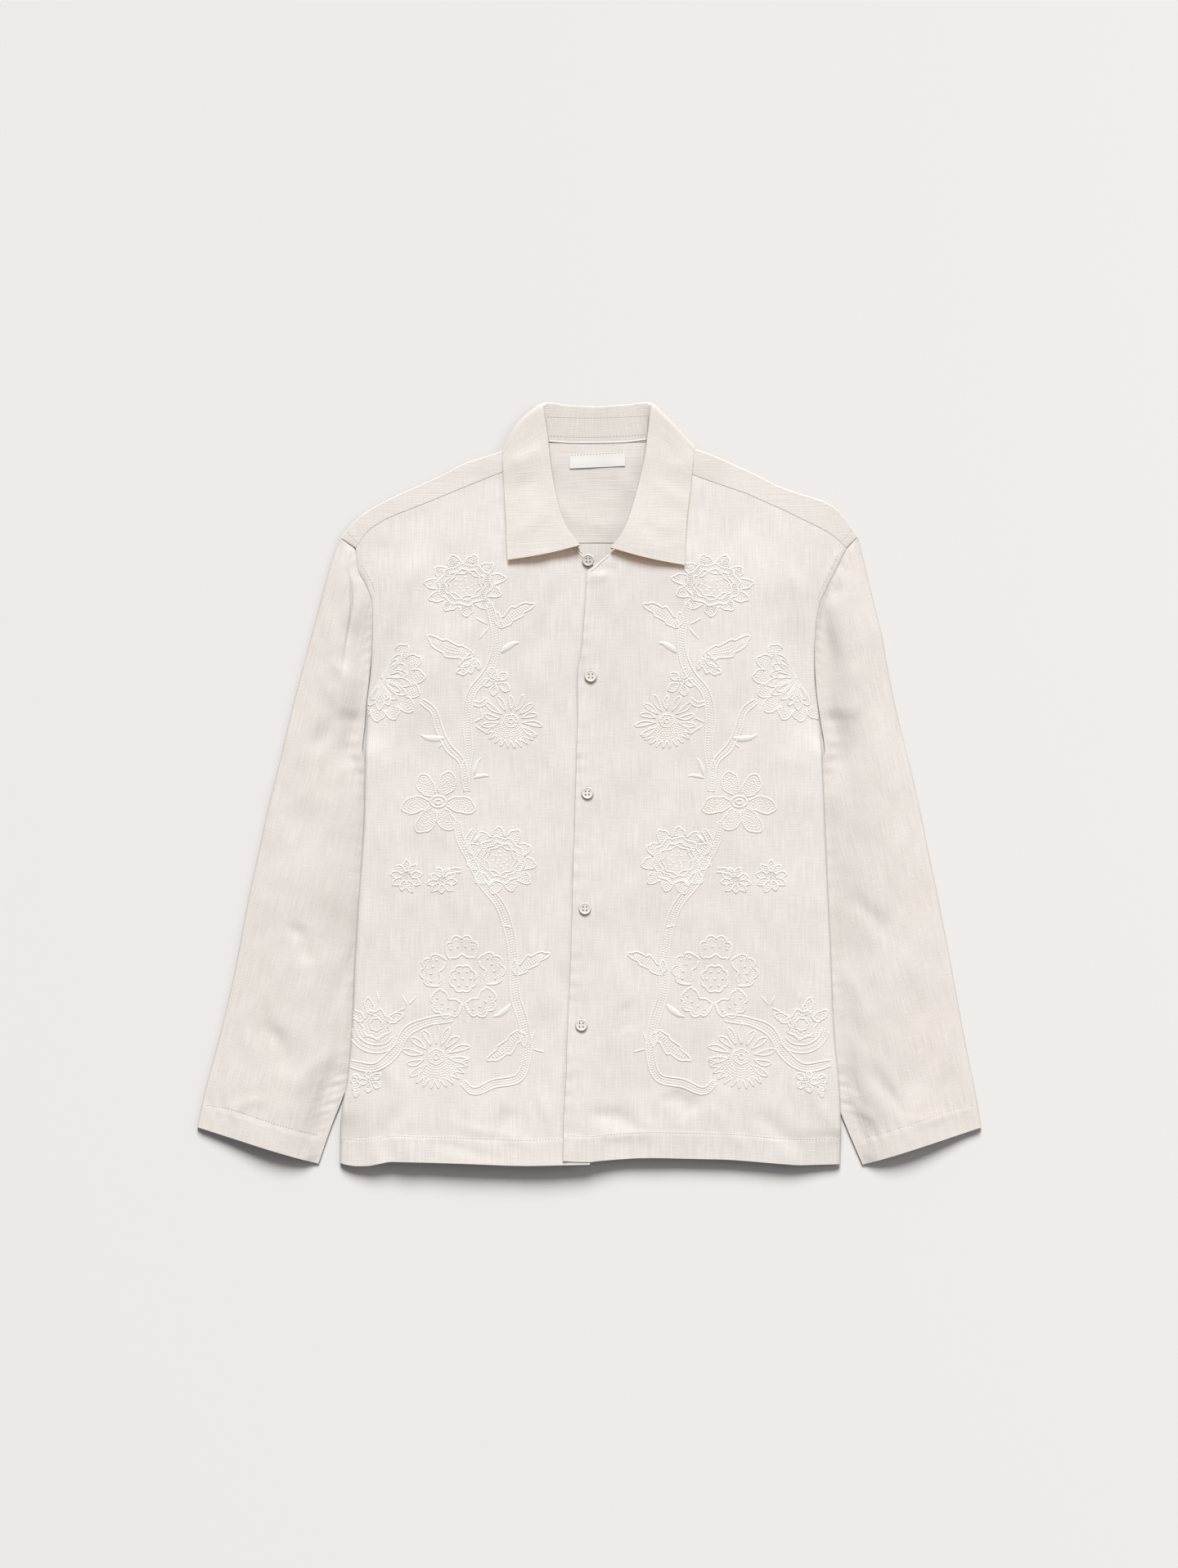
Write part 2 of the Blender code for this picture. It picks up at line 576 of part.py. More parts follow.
def build_sleeve(name, rows):
    right = rows[0][0] < 0.0
    points = []
    for number, (ox, oy, ix, iy, puff, radius) in enumerate(rows):
        head = number < HEAD_SECTIONS
        if ix == 0.0:
            ix = side_x(iy, right) + (-ARMHOLE_GAP if right else ARMHOLE_GAP)
        outer, inner = np.array([ox, oy]), np.array([ix, iy])
        width = np.linalg.norm(outer - inner)
        across = (outer - inner) / width
        r = min(radius, 0.5 * width)
        start = 0.0 if head else INNER_R
        edge_top = 2.0 * INNER_R
        if head:
            edge_top = table_at(SIDE_HEIGHTS, iy, 3) - 0.45 + max(iy - TIP_FROM_Y, 0.0) * TIP_SLOPE
        valley = 3.3 if head else 2.0 * INNER_R
        tucked = min(TUCK / width, 0.14)
        if head:
            tucked = 0.05
        span = width - start - r
        row = []

        def place(g, z):
            p = inner + across * (start + span * g)
            row.append((p[0], p[1], z))

        for g in SLEEVE_TOP:
            free = min(max((g - tucked) / (1.0 - tucked), 0.0), 1.0)
            z = valley + (edge_top - valley) * math.exp(-g * span / 2.0)
            z += (2.0 * radius - valley) * free + puff * math.sin(math.pi * free) ** 1.3
            place(g, max(z, 3.0))
        for angle in OUTER_ARC:
            a = math.radians(angle)
            p = outer - across * r * (1.0 - math.sin(a))
            row.append((p[0], p[1], radius * (1.0 + math.cos(a))))
        for g in SLEEVE_UNDER:
            place(g, 0.0)
        for angle in INNER_ARC:
            a = math.radians(angle)
            p = inner + across * INNER_R * (1.0 - math.sin(a))
            row.append((p[0], p[1], INNER_R * (1.0 - math.cos(a))))
        points += row
    columns = len(SLEEVE_TOP) + len(OUTER_ARC) + len(SLEEVE_UNDER) + len(INNER_ARC)
    open_columns = columns - len(INNER_ARC)
    quads = []
    for n in range(len(rows) - 1):
        for c in range(columns):
            if n < HEAD_SECTIONS and c >= open_columns - 1:
                continue
            a = n * columns + c
            b = n * columns + (c + 1) % columns
            quad = (a, b, b + columns, a + columns)
            quads.append(quad if right else tuple(reversed(quad)))
    cloth_wall(name, points, quads)


SIDE_SECTION = 8
SIDE_TURNS = (30.0, 60.0)
STAND_SHARES = (0.0, 0.35, 0.7, 1.0)
ROLL_ARC = (-54.0, -18.0, 18.0, 54.0)
FALL_SHARES = (0.0, 0.12, 0.3, 0.5, 0.7, 0.86, 1.0)
# Stack angles up to which a section lies on the front, stands at the side, and lies at the back.
FRONT_ANGLE = 30.0
SIDE_ANGLE = 40.0
BACK_ANGLE = 150.0
HALF_TURN = 180.0


def collar_section(row, outward_sign):
    nx, ny, rx, ry, ex, ey, angle, roll_z, edge_z, bow = row
    neck, roll, edge = np.array([nx, ny]), np.array([rx, ry]), np.array([ex, ey])
    reach = np.linalg.norm(roll - neck)
    toward = (roll - neck) / reach
    side = np.array([-toward[1], toward[0]]) * outward_sign
    a = math.radians(angle)
    stack = np.array([side[0] * math.sin(a), side[1] * math.sin(a), math.cos(a)])
    stack /= np.linalg.norm(stack)
    roll_r = ROLL_R + ROLL_MORE * math.sin(a)
    roll_half = roll_r
    end = roll - toward * min(roll_r, 0.5 * reach)
    in_front = angle < FRONT_ANGLE
    if in_front:
        roll_half += roll_z
        neck_z = top_z(nx, ny) - 0.5 * WALL
        end_z = top_z(*end) - 0.3 * WALL
    else:
        fold_half = 0.5 * (table_at(SIDE_HEIGHTS, SHOULDER_Y, 3) + FOLD_R)
        round_fold = min(max((angle - SIDE_ANGLE) / (HALF_TURN - 2.0 * SIDE_ANGLE), 0.0), 1.0)
        neck_z = COLLAR_LIFT + fold_half + (fold_half - 0.5 * WALL) * math.cos(math.pi * round_fold)
        end_z = roll_z
    n3, a3 = np.array([*neck, neck_z]), np.array([*end, end_z])
    e3 = np.array([*toward, 0.0])
    section = [n3 + (a3 - n3) * t for t in STAND_SHARES]
    for degrees in ROLL_ARC:
        d = math.radians(degrees)
        section.append(a3 + stack * roll_half * (1.0 + math.sin(d)) + e3 * roll_r * math.cos(d))
    b3 = a3 + stack * 2.0 * roll_half
    start = b3[2] - top_z(*end)
    line = edge - b3[:2]
    across = np.array([-line[1], line[0]]) / np.linalg.norm(line)
    if across @ side < 0.0:
        across = -across
    for t in FALL_SHARES:
        p = b3[:2] + line * t + across * bow * math.sin(math.pi * t)
        if in_front:
            z = top_z(*p) + start + (edge_z - start) * t
        else:
            z = b3[2] + (edge_z - b3[2]) * (t if angle < BACK_ANGLE else soft_step(3.0 * t))
        section.append(np.array([p[0], p[1], z]))
    return section


def quarter_turn(flat, upright, degrees):
    """A section between a flat one and the upright one at the side, on a quarter of an ellipse."""
    a = math.radians(degrees)
    made = []
    for p, q in zip(flat, upright):
        xy = p[:2] + (q[:2] - p[:2]) * math.sin(a)
        made.append(np.array([xy[0], xy[1], q[2] + (p[2] - q[2]) * math.cos(a)]))
    return made


def collar_rows():
    """Every section, from the wearer's right end to the left one."""
    rows = []
    for table, sign in ((COLLAR_RIGHT, 1.0), (COLLAR_LEFT, -1.0)):
        part = [collar_section(r[1:], sign) for r in table]
        above, side, below = SIDE_SECTION - 1, SIDE_SECTION, SIDE_SECTION + 1
        rounded = part[:side]
        for degrees in SIDE_TURNS:
            rounded.append(quarter_turn(part[above], part[side], degrees))
        rounded.append(part[side])
        for degrees in reversed(SIDE_TURNS):
            rounded.append(quarter_turn(part[below], part[side], degrees))
        rows.append(rounded + part[below:])
    return rows[0] + list(reversed(rows[1]))


def build_collar():
    rows = collar_rows()
    columns = len(rows[0])
    points = [p for row in rows for p in row]
    cloth_wall("collar", points, grid_quads(len(rows), columns), centred=True)


def build_label():
    points = []
    for up in (0.0, 0.5, 1.0):
        for c in range(LABEL_STEPS + 1):
            share = c / LABEL_STEPS
            x = LABEL_X[0] + (LABEL_X[1] - LABEL_X[0]) * share
            y = LABEL_Y[0] + (LABEL_Y[1] - LABEL_Y[0]) * up + LABEL_TILT * (share - 0.5)
            points.append((x, y, collar_lift(x, y) + WALL + SEAM + LABEL_THICK + LABEL_HANG * (1.0 - up)))
    cloth_wall("label", points, grid_quads(3, LABEL_STEPS + 1), LABEL_WHITE, thick=LABEL_THICK)


def build_button(number, x, y, tilt_x, tilt_y):
    steps = BUTTON_STEPS
    verts, faces = [], []
    for r, z in BUTTON_RINGS:
        for k in range(steps):
            a = 2.0 * math.pi * k / steps
            verts.append((r * math.cos(a), r * math.sin(a), z))
    rings = len(BUTTON_RINGS)
    for ring in range(rings - 1):
        for k in range(steps):
            a = ring * steps + k
            b = ring * steps + (k + 1) % steps
            faces.append((a, b, b + steps, a + steps))
    faces.append(tuple(reversed(range(steps))))
    faces.append(tuple((rings - 1) * steps + k for k in range(steps)))
    base = max(
        top_z(x + dx, y + dy) + overlap_lift(x + dx, y + dy)
        for dx in (-BUTTON_R, 0.0, BUTTON_R) for dy in (-BUTTON_R, 0.0, BUTTON_R)
    ) + SEAM
    button = make_object("button_%d" % number, verts, faces, BUTTON_BEIGE)
    button.location = (x / 1000.0, y / 1000.0, base / 1000.0)
    button.rotation_euler = (math.radians(tilt_x), math.radians(tilt_y), 0.0)
    cutter_verts, cutter_faces = [], []
    sides = HOLE_SIDES
    for hx, hy in ((1, 1), (-1, 1), (-1, -1), (1, -1)):
        start = len(cutter_verts)
        for z in (-1.0, 4.0):
            for k in range(sides):
                a = 2.0 * math.pi * k / sides
                cutter_verts.append((HOLE_AT * hx + HOLE_R * math.cos(a), HOLE_AT * hy + HOLE_R * math.sin(a), z))
        for k in range(sides):
            n = (k + 1) % sides
            cutter_faces.append((start + k, start + n, start + sides + n, start + sides + k))
        cutter_faces.append(tuple(start + k for k in reversed(range(sides))))
        cutter_faces.append(tuple(start + sides + k for k in range(sides)))
    cutter = make_object("hole_cutter_%d" % number, cutter_verts, cutter_faces, BUTTON_BEIGE)
    cutter.location = button.location
    cutter.rotation_euler = button.rotation_euler
    bpy.context.view_layer.update()
    cut = button.modifiers.new("thread holes", "BOOLEAN")
    cut.operation = "DIFFERENCE"
    cut.solver = "EXACT"
    cut.object = cutter
    cutter.hide_render = True


build_back()
build_yoke()
build_front("right_front", False, RIGHT_SEAM, RIGHT_NECK, RIGHT_HEM, UNDERLAP_EDGE)
build_front("left_front", True, LEFT_SEAM, LEFT_NECK, LEFT_HEM, OVERLAP_EDGE)
build_sleeve("right_sleeve", RIGHT_SLEEVE)
build_sleeve("left_sleeve", LEFT_SLEEVE)
build_collar()
build_label()
for button_number, button_row in enumerate(BUTTONS, 1):
    build_button(button_number, *button_row)
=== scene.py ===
"""Looks of the linen camp shirt that lies flat on a pale floor.
"""
import math

import bpy
import numpy as np
from mathutils import Euler, Matrix, Vector, noise
from mathutils.bvhtree import BVHTree


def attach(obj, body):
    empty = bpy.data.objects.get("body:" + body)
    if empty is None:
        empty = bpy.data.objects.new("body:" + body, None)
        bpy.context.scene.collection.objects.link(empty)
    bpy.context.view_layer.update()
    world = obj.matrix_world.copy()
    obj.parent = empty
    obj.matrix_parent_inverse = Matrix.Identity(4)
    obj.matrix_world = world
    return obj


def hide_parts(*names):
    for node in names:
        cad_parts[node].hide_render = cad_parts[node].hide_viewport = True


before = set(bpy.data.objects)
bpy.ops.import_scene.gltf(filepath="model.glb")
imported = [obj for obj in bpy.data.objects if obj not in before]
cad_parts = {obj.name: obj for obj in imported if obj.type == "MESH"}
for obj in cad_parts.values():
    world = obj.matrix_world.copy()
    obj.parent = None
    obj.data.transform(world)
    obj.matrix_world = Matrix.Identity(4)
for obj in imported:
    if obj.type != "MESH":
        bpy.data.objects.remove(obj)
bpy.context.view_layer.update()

# The back is one piece of washed linen. It lies flat on the floor under the fronts, and its side
# edges turn up to the side seams. The outline tables below are those of the whole body, so the
# yoke, fronts and sleeves use them too.
METRES = 0.001
TINY = 1e-9
# The cloth's wall, the room left in a seam and in the back's seam, and the side fold's radius.
CLOTH = 0.9
SEAM = 0.2
BACK_SEAM = 0.05
FOLD_R = 3.0
# Cells of the cloth's grids, those of the back, and the least gap between two rows.
GRID_STEP = 3.2
BACK_STEP = 4.2
LEAST_GAP = 0.01
# Degrees from which an edge of the cloth is sharp.
CLOTH_EDGE = 50.0
# y, left edge x, right edge x
BODY_SIDES = (
    (-371.6, -243.8, 246.2),
    (-326.0, -243.0, 246.6),
    (-275.6, -233.9, 243.7),
    (-240.4, -231.8, 239.8),
    (-169.2, -228.6, 236.7),
    (-32.4, -219.8, 230.6),
    (47.6, -218.2, 227.2),
    (77.2, -217.4, 224.0),
    (112.4, -213.4, 220.5),
    (154.0, -211.3, 221.8),
    (184.4, -211.8, 227.0),
    (198.0, -219.8, 236.7),
    (211.0, -226.0, 242.2),
    (231.0, -228.2, 252.2),
    (242.5, -244.8, 263.0),
)
# y, left rise, right rise, height of the front's edge above the rise, back edge's lift
SIDE_HEIGHTS = (
    (-372.0, 0.0, 0.0, 3.35, 2.65),
    (-352.0, 0.0, 1.5, 3.35, 2.65),
    (-335.0, 1.5, 4.4, 3.35, 2.65),
    (-315.0, 4.4, 4.4, 3.35, 2.65),
    (25.0, 4.4, 4.4, 3.35, 2.65),
    (50.0, 0.5, 0.5, 3.35, 2.65),
    (62.0, 0.0, 0.0, 3.35, 2.65),
    (77.0, 0.0, 0.0, 3.4, 0.3),
    (125.0, 0.0, 0.0, 3.9, 0.0),
    (198.0, 0.0, 0.0, 4.4, 0.0),
    (232.0, 0.0, 0.0, 3.6, 0.0),
)
# The armhole seam ends here and fades in above it.
ARMHOLE_END = 105.0
ARMHOLE_FADE = 60.0
# Heights at which a panel has a row of points, and the room that they keep to its ends.
SIDE_ROWS = (
    -352.0, -335.0, -315.0, -290.0, -240.0, -170.0, -100.0, -32.0, 8.0, 25.0, 50.0, 61.0, 77.0,
    105.0, 125.0, 145.0, 160.0, 176.0, 194.0, 211.0,
)
ROW_ROOM_BELOW = 5.0
ROW_ROOM_ABOVE = 3.0
# The middle of the neck, and the back's seam, which drops toward the sides.
NECK_MID_X = 9.0
BACK_SEAM_MID_Y = 236.8
BACK_SEAM_DROP = 18.0
BACK_SEAM_HALF = 225.0
BACK_HEM_Y = -366.0
BACK_TOP_Y = 218.0
# Rounds in which a slanting side's y and x are brought together.
SLANT_ROUNDS = 3
# Distances of the back's columns from its side.
BACK_STEPS = (0.0, 0.1, 0.88, 3.0, 9.0, 17.0, 28.0, 40.0, 70.0, 110.0, 155.0, 202.0)
# How far the sleeve lies under the body's side, and how the back comes down beyond it.
TUCK = 17.0
TUCK_FADE = 22.0
LEAST_LIFT = 0.05
# Columns over which waves and creases fade toward the sides.
EDGE_ROOM = 6.0
EDGE_ROOM_FROM = 0.4
# size, height and seed of the cloth's slow waves, which are longer along the warp
BACK_WAVES = (60.0, 0.5, 3.0)
WAVES_ALONG = 0.6
# A crease bows by this share of its half width, and fades over a quarter of its length.
CREASE_BOW = 0.35
CREASE_WAVES = 5.0
CREASE_END = 0.25
# Soft ridges of the back where it lifts a little off the floor: from x, y to x, y, half width,
# height.
BACK_CREASES = (
    (-150.0, 190.0, -60.0, 120.0, 15.0, 1.1),
    (120.0, 170.0, 160.0, 20.0, 17.0, 0.9),
    (-40.0, -60.0, -95.0, -230.0, 19.0, 1.2),
    (70.0, -120.0, 60.0, -300.0, 16.0, 0.8),
    (-180.0, -180.0, -120.0, -330.0, 14.0, 0.7),
    (170.0, -200.0, 200.0, -320.0, 12.0, 0.9),
    (10.0, 150.0, 40.0, 60.0, 21.0, 0.7),
)


def soft_step(t):
    """0 below 0, 1 above 1, and an even S between."""
    t = np.clip(t, 0.0, 1.0)
    return t * t * (3.0 - 2.0 * t)


def swell(t):
    """0 at 0, flat at 1 from 1 on."""
    return math.sin(0.5 * math.pi * min(max(t, 0.0), 1.0))


def table_at(rows, at, column):
    """A column of a table, read between its rows by its first column, which rises."""
    return float(np.interp(at, [r[0] for r in rows], [r[column] for r in rows]))


def side_x(y, left):
    return table_at(BODY_SIDES, y, 1 if left else 2)


def rise(y, left):
    return table_at(SIDE_HEIGHTS, y, 1 if left else 2)


def armhole(y):
    """1 beside the armhole seam, 0 at the open side below it."""
    return soft_step((y - ARMHOLE_END) / ARMHOLE_FADE)


def row_shares(bottom, top, more=()):
    """Shares of a panel's height at which its rows meet the side, both ends included."""
    inside = [y for y in SIDE_ROWS + more if bottom + ROW_ROOM_BELOW < y < top - ROW_ROOM_ABOVE]
    return [0.0] + [(y - bottom) / (top - bottom) for y in sorted(inside)] + [1.0]


def back_seam_y(x):
    return BACK_SEAM_MID_Y - BACK_SEAM_DROP * min(abs(x - NECK_MID_X) / BACK_SEAM_HALF, 1.0) ** 2


def back_z(y, left, edge):
    """Height of the back's face at a distance from its side."""
    rise_here = rise(y, left)
    z = rise_here * (1.0 - soft_step((edge - TUCK) / TUCK_FADE))
    if edge < FOLD_R:
        lift = max(table_at(SIDE_HEIGHTS, y, 4), LEAST_LIFT)
        bend = (FOLD_R ** 2 + lift ** 2) / (2.0 * lift)
        z = rise_here + bend - math.sqrt(bend ** 2 - (FOLD_R - edge) ** 2)
    return z


def cubic(start, end, leaving, arriving, s):
    """A curve from start to end with its slopes at both, read at a share s of the way."""
    return (start * (2.0 * s ** 3 - 3.0 * s ** 2 + 1.0) + leaving * (s ** 3 - 2.0 * s ** 2 + s)
            + end * (3.0 * s ** 2 - 2.0 * s ** 3) + arriving * (s ** 3 - s ** 2))


def smooth_between(t, values, at):
    """Curves through rows of values at t that don't overshoot, read at other places."""
    t = np.asarray(t, float)
    gap = np.diff(t).reshape((-1,) + (1,) * (values.ndim - 1))
    slope = np.diff(values, axis=0) / gap
    tangent = np.concatenate([slope[:1], 0.5 * (slope[:-1] + slope[1:]), slope[-1:]])
    before, after = slope[:-1], slope[1:]
    w1, w2 = 2.0 * gap[1:] + gap[:-1], gap[1:] + 2.0 * gap[:-1]
    same = before * after > 0.0
    safe_before = np.where(same, before, 1.0)
    safe_after = np.where(same, after, 1.0)
    tangent[1:-1] = np.where(same, (w1 + w2) / (w1 / safe_before + w2 / safe_after), 0.0)
    i = np.clip(np.searchsorted(t, at, side="right") - 1, 0, len(t) - 2)
    h = gap[i]
    s = ((at - t[i]) / (t[i + 1] - t[i])).reshape((-1,) + (1,) * (values.ndim - 1))
    return cubic(values[i], values[i + 1], tangent[i] * h, tangent[i + 1] * h, s)


def finer(grid, step=GRID_STEP):
    """A grid of points filled in to cells of about a step, and the places of its new rows and
    columns among the old ones."""
    places = []
    for axis in (0, 1):
        values = np.moveaxis(grid, axis, 0)
        gaps = np.linalg.norm(np.diff(values, axis=0), axis=2).mean(axis=1)
        t = np.concatenate([[0.0], np.cumsum(np.maximum(gaps, LEAST_GAP))])
        at = [0.0]
        for a, b in zip(t[:-1], t[1:]):
            parts = max(1, math.ceil((b - a) / step))
            at += [a + (b - a) * (k + 1) / parts for k in range(parts)]
        places.append(np.interp(at, t, np.arange(len(t))))
        grid = np.moveaxis(smooth_between(t, values, np.array(at)), 0, axis)
    return grid, places[0], places[1]


def creased(points, creases):
    """Height that the listed troughs and ridges add to points."""
    added = np.zeros(points.shape[:-1])
    for x0, y0, x1, y1, half, height in creases:
        line = np.array([x1 - x0, y1 - y0])
        length = np.linalg.norm(line)
        line /= length
        dx, dy = points[..., 0] - x0, points[..., 1] - y0
        along_line = (dx * line[0] + dy * line[1]) / length
        bow = CREASE_BOW * half * np.sin(along_line * CREASE_WAVES + x0)
        off = (dx * -line[1] + dy * line[0] - bow) / half
        begins = soft_step((along_line + CREASE_END) / (2.0 * CREASE_END))
        ends = soft_step((1.0 + CREASE_END - along_line) / (2.0 * CREASE_END))
        added += height * np.exp(-off ** 2) * (begins * ends)
    return added


def unevenness(points, size, height, seed):
    """Low, slow waves of washed linen, as heights at points."""
    flat = points.reshape(-1, 3)
    waves = [noise.noise(Vector((p[0] / size, WAVES_ALONG * p[1] / size, seed))) for p in flat]
    return height * np.array(waves).reshape(points.shape[:-1])


def middles(places):
    return 0.5 * (places[1:] + places[:-1])


def from_ends(places):
    """How far each place is from the nearer end."""
    return np.minimum(places, places[-1] - places)


def grid_quads(rows, columns, keep=None, turned=False):
    """Quads of a grid numbered row by row. keep is an array of the cells that stay."""
    r, c = np.meshgrid(np.arange(rows - 1), np.arange(columns - 1), indexing="ij")
    if keep is not None:
        r, c = r[keep], c[keep]
    a = (r * columns + c).ravel()
    quads = np.stack([a, a + 1, a + columns + 1, a + columns], axis=1)
    return quads[:, ::-1] if turned else quads


def vertex_normals(points, quads):
    a, b, c, d = (points[quads[:, k]] for k in range(4))
    n = np.cross(c - a, d - b)
    n /= np.linalg.norm(n, axis=1, keepdims=True) + TINY
    normals = np.zeros_like(points)
    for k in range(4):
        np.add.at(normals, quads[:, k], n)
    return normals / (np.linalg.norm(normals, axis=1, keepdims=True) + TINY)


def cloth_piece(name, grid, quads, material, thick=CLOTH, centred=False, cloth_uv=None):
    """A thin closed sheet on quads that are its outer face, or its middle. cloth_uv gives each
    point's place on the cut cloth, where that isn't its x and y."""
    points = grid.reshape(-1, 3)
    cloth_uv = points[:, :2] if cloth_uv is None else cloth_uv
    normals = vertex_normals(points, quads)
    outer = points + normals * (0.5 * thick if centred else 0.0)
    inner = outer - normals * thick
    count = len(points)
    sides = np.concatenate([quads[:, [k, (k + 1) % 4]] for k in range(4)])
    known = {(int(a), int(b)) for a, b in sides}
    rims = np.array([(b, a, a + count, b + count) for a, b in known if (b, a) not in known])
    rims = rims[np.lexsort((rims[:, 1], rims[:, 0]))]
    faces = np.concatenate([quads, quads[:, ::-1] + count, rims])
    kept, faces = np.unique(faces, return_inverse=True)
    both = np.concatenate([outer, inner])[kept] * METRES
    mesh = bpy.data.meshes.new(name)
    mesh.from_pydata(both.tolist(), [], faces.reshape(-1, 4).tolist())
    uv = np.concatenate([cloth_uv, cloth_uv])[kept] * METRES
    layer = mesh.uv_layers.new(name="cloth")
    corners = np.zeros(len(mesh.loops), int)
    mesh.loops.foreach_get("vertex_index", corners)
    layer.data.foreach_set("uv", uv[corners].ravel())
    return finished(name, mesh, material)


def finished(name, mesh, material, angle=CLOTH_EDGE):
    """An object at the origin for a mesh, smooth but for its edges."""
    piece = bpy.data.objects.new(name, mesh)
    bpy.context.collection.objects.link(piece)
    mesh.materials.append(material)
    bpy.ops.object.select_all(action="DESELECT")
    piece.select_set(True)
    bpy.context.view_layer.objects.active = piece
    bpy.ops.object.shade_smooth_by_angle(angle=math.radians(angle))
    return piece


def linear(hex_colour):
    """An sRGB hex colour as the linear values that shaders read."""
    parts = [int(hex_colour[i:i + 2], 16) / 255.0 for i in (0, 2, 4)]
    return [p / 12.92 if p <= 0.04045 else ((p + 0.055) / 1.055) ** 2.4 for p in parts] + [1.0]


def add_node(tree, kind, settings=(), links=()):
    """A node with its settings, by socket or property name, and its links."""
    node = tree.nodes.new(kind)
    for key, value in dict(settings).items():
        if isinstance(key, int) or key in node.inputs:
            node.inputs[key].default_value = value
        else:
            setattr(node, key, value)
    for key, source in dict(links).items():
        tree.links.new(source, node.inputs[key])
    return node


def new_material(name, settings):
    """A material with its shader's settings, its node tree and that shader."""
    material = bpy.data.materials.new(name)
    material.use_nodes = True
    tree = material.node_tree
    shader = tree.nodes["Principled BSDF"]
    for key, value in settings.items():
        shader.inputs[key].default_value = value
    return material, tree, shader


# Washed linen, plain woven from melange yarn. Threads lie 0.5 mm apart, too fine for the picture,
# so the streaks of thick and thin yarn are drawn 1.1 mm wide. They give the cloth fine streaks
# along the warp, shorter ones across, and a matt face with a faint sheen.
WARP_WIDTH = 1.1
WARP_LENGTH = 34.0
WEFT_WIDTH = 1.0
WEFT_LENGTH = 16.0
WEAVE_PITCH = 1.25
# The weft's streaks against the warp's.
WEFT_SHARE = 0.6
# How much the two crossed threads add to the streaks' relief.
WEAVE_SHARE = 0.25
# At scale 1 the bands of a wave texture are this many metres apart.
WAVE_METRES = 0.314
# Clouds of the wash, 71 mm across, and how far pale and dark yarn lie from the middle tone.
CLOUD_WIDTH = 1000.0 / 14.0
CLOUD_SHARE = 0.35
TONE_SPREAD = 0.42
# Light is warmed on its way through the cloth.
WARMED = "FFE1BC"


def lighten_shadow(tree, shader, share):
    """Lets a share of the lamp light pass each face, warmed, into the shadow behind it."""
    ray = add_node(tree, "ShaderNodeLightPath")
    passed = add_node(tree, "ShaderNodeMath", {"operation": "MULTIPLY", 1: share},
                      {0: ray.outputs["Is Shadow Ray"]})
    gaps = add_node(tree, "ShaderNodeBsdfTransparent", {"Color": linear(WARMED)})
    joined = add_node(tree, "ShaderNodeMixShader", {},
                      {0: passed.outputs["Value"], 2: gaps.outputs["BSDF"]})
    tree.links.new(shader.outputs["BSDF"], joined.inputs[1])
    tree.links.new(joined.outputs["Shader"], tree.nodes["Material Output"].inputs["Surface"])


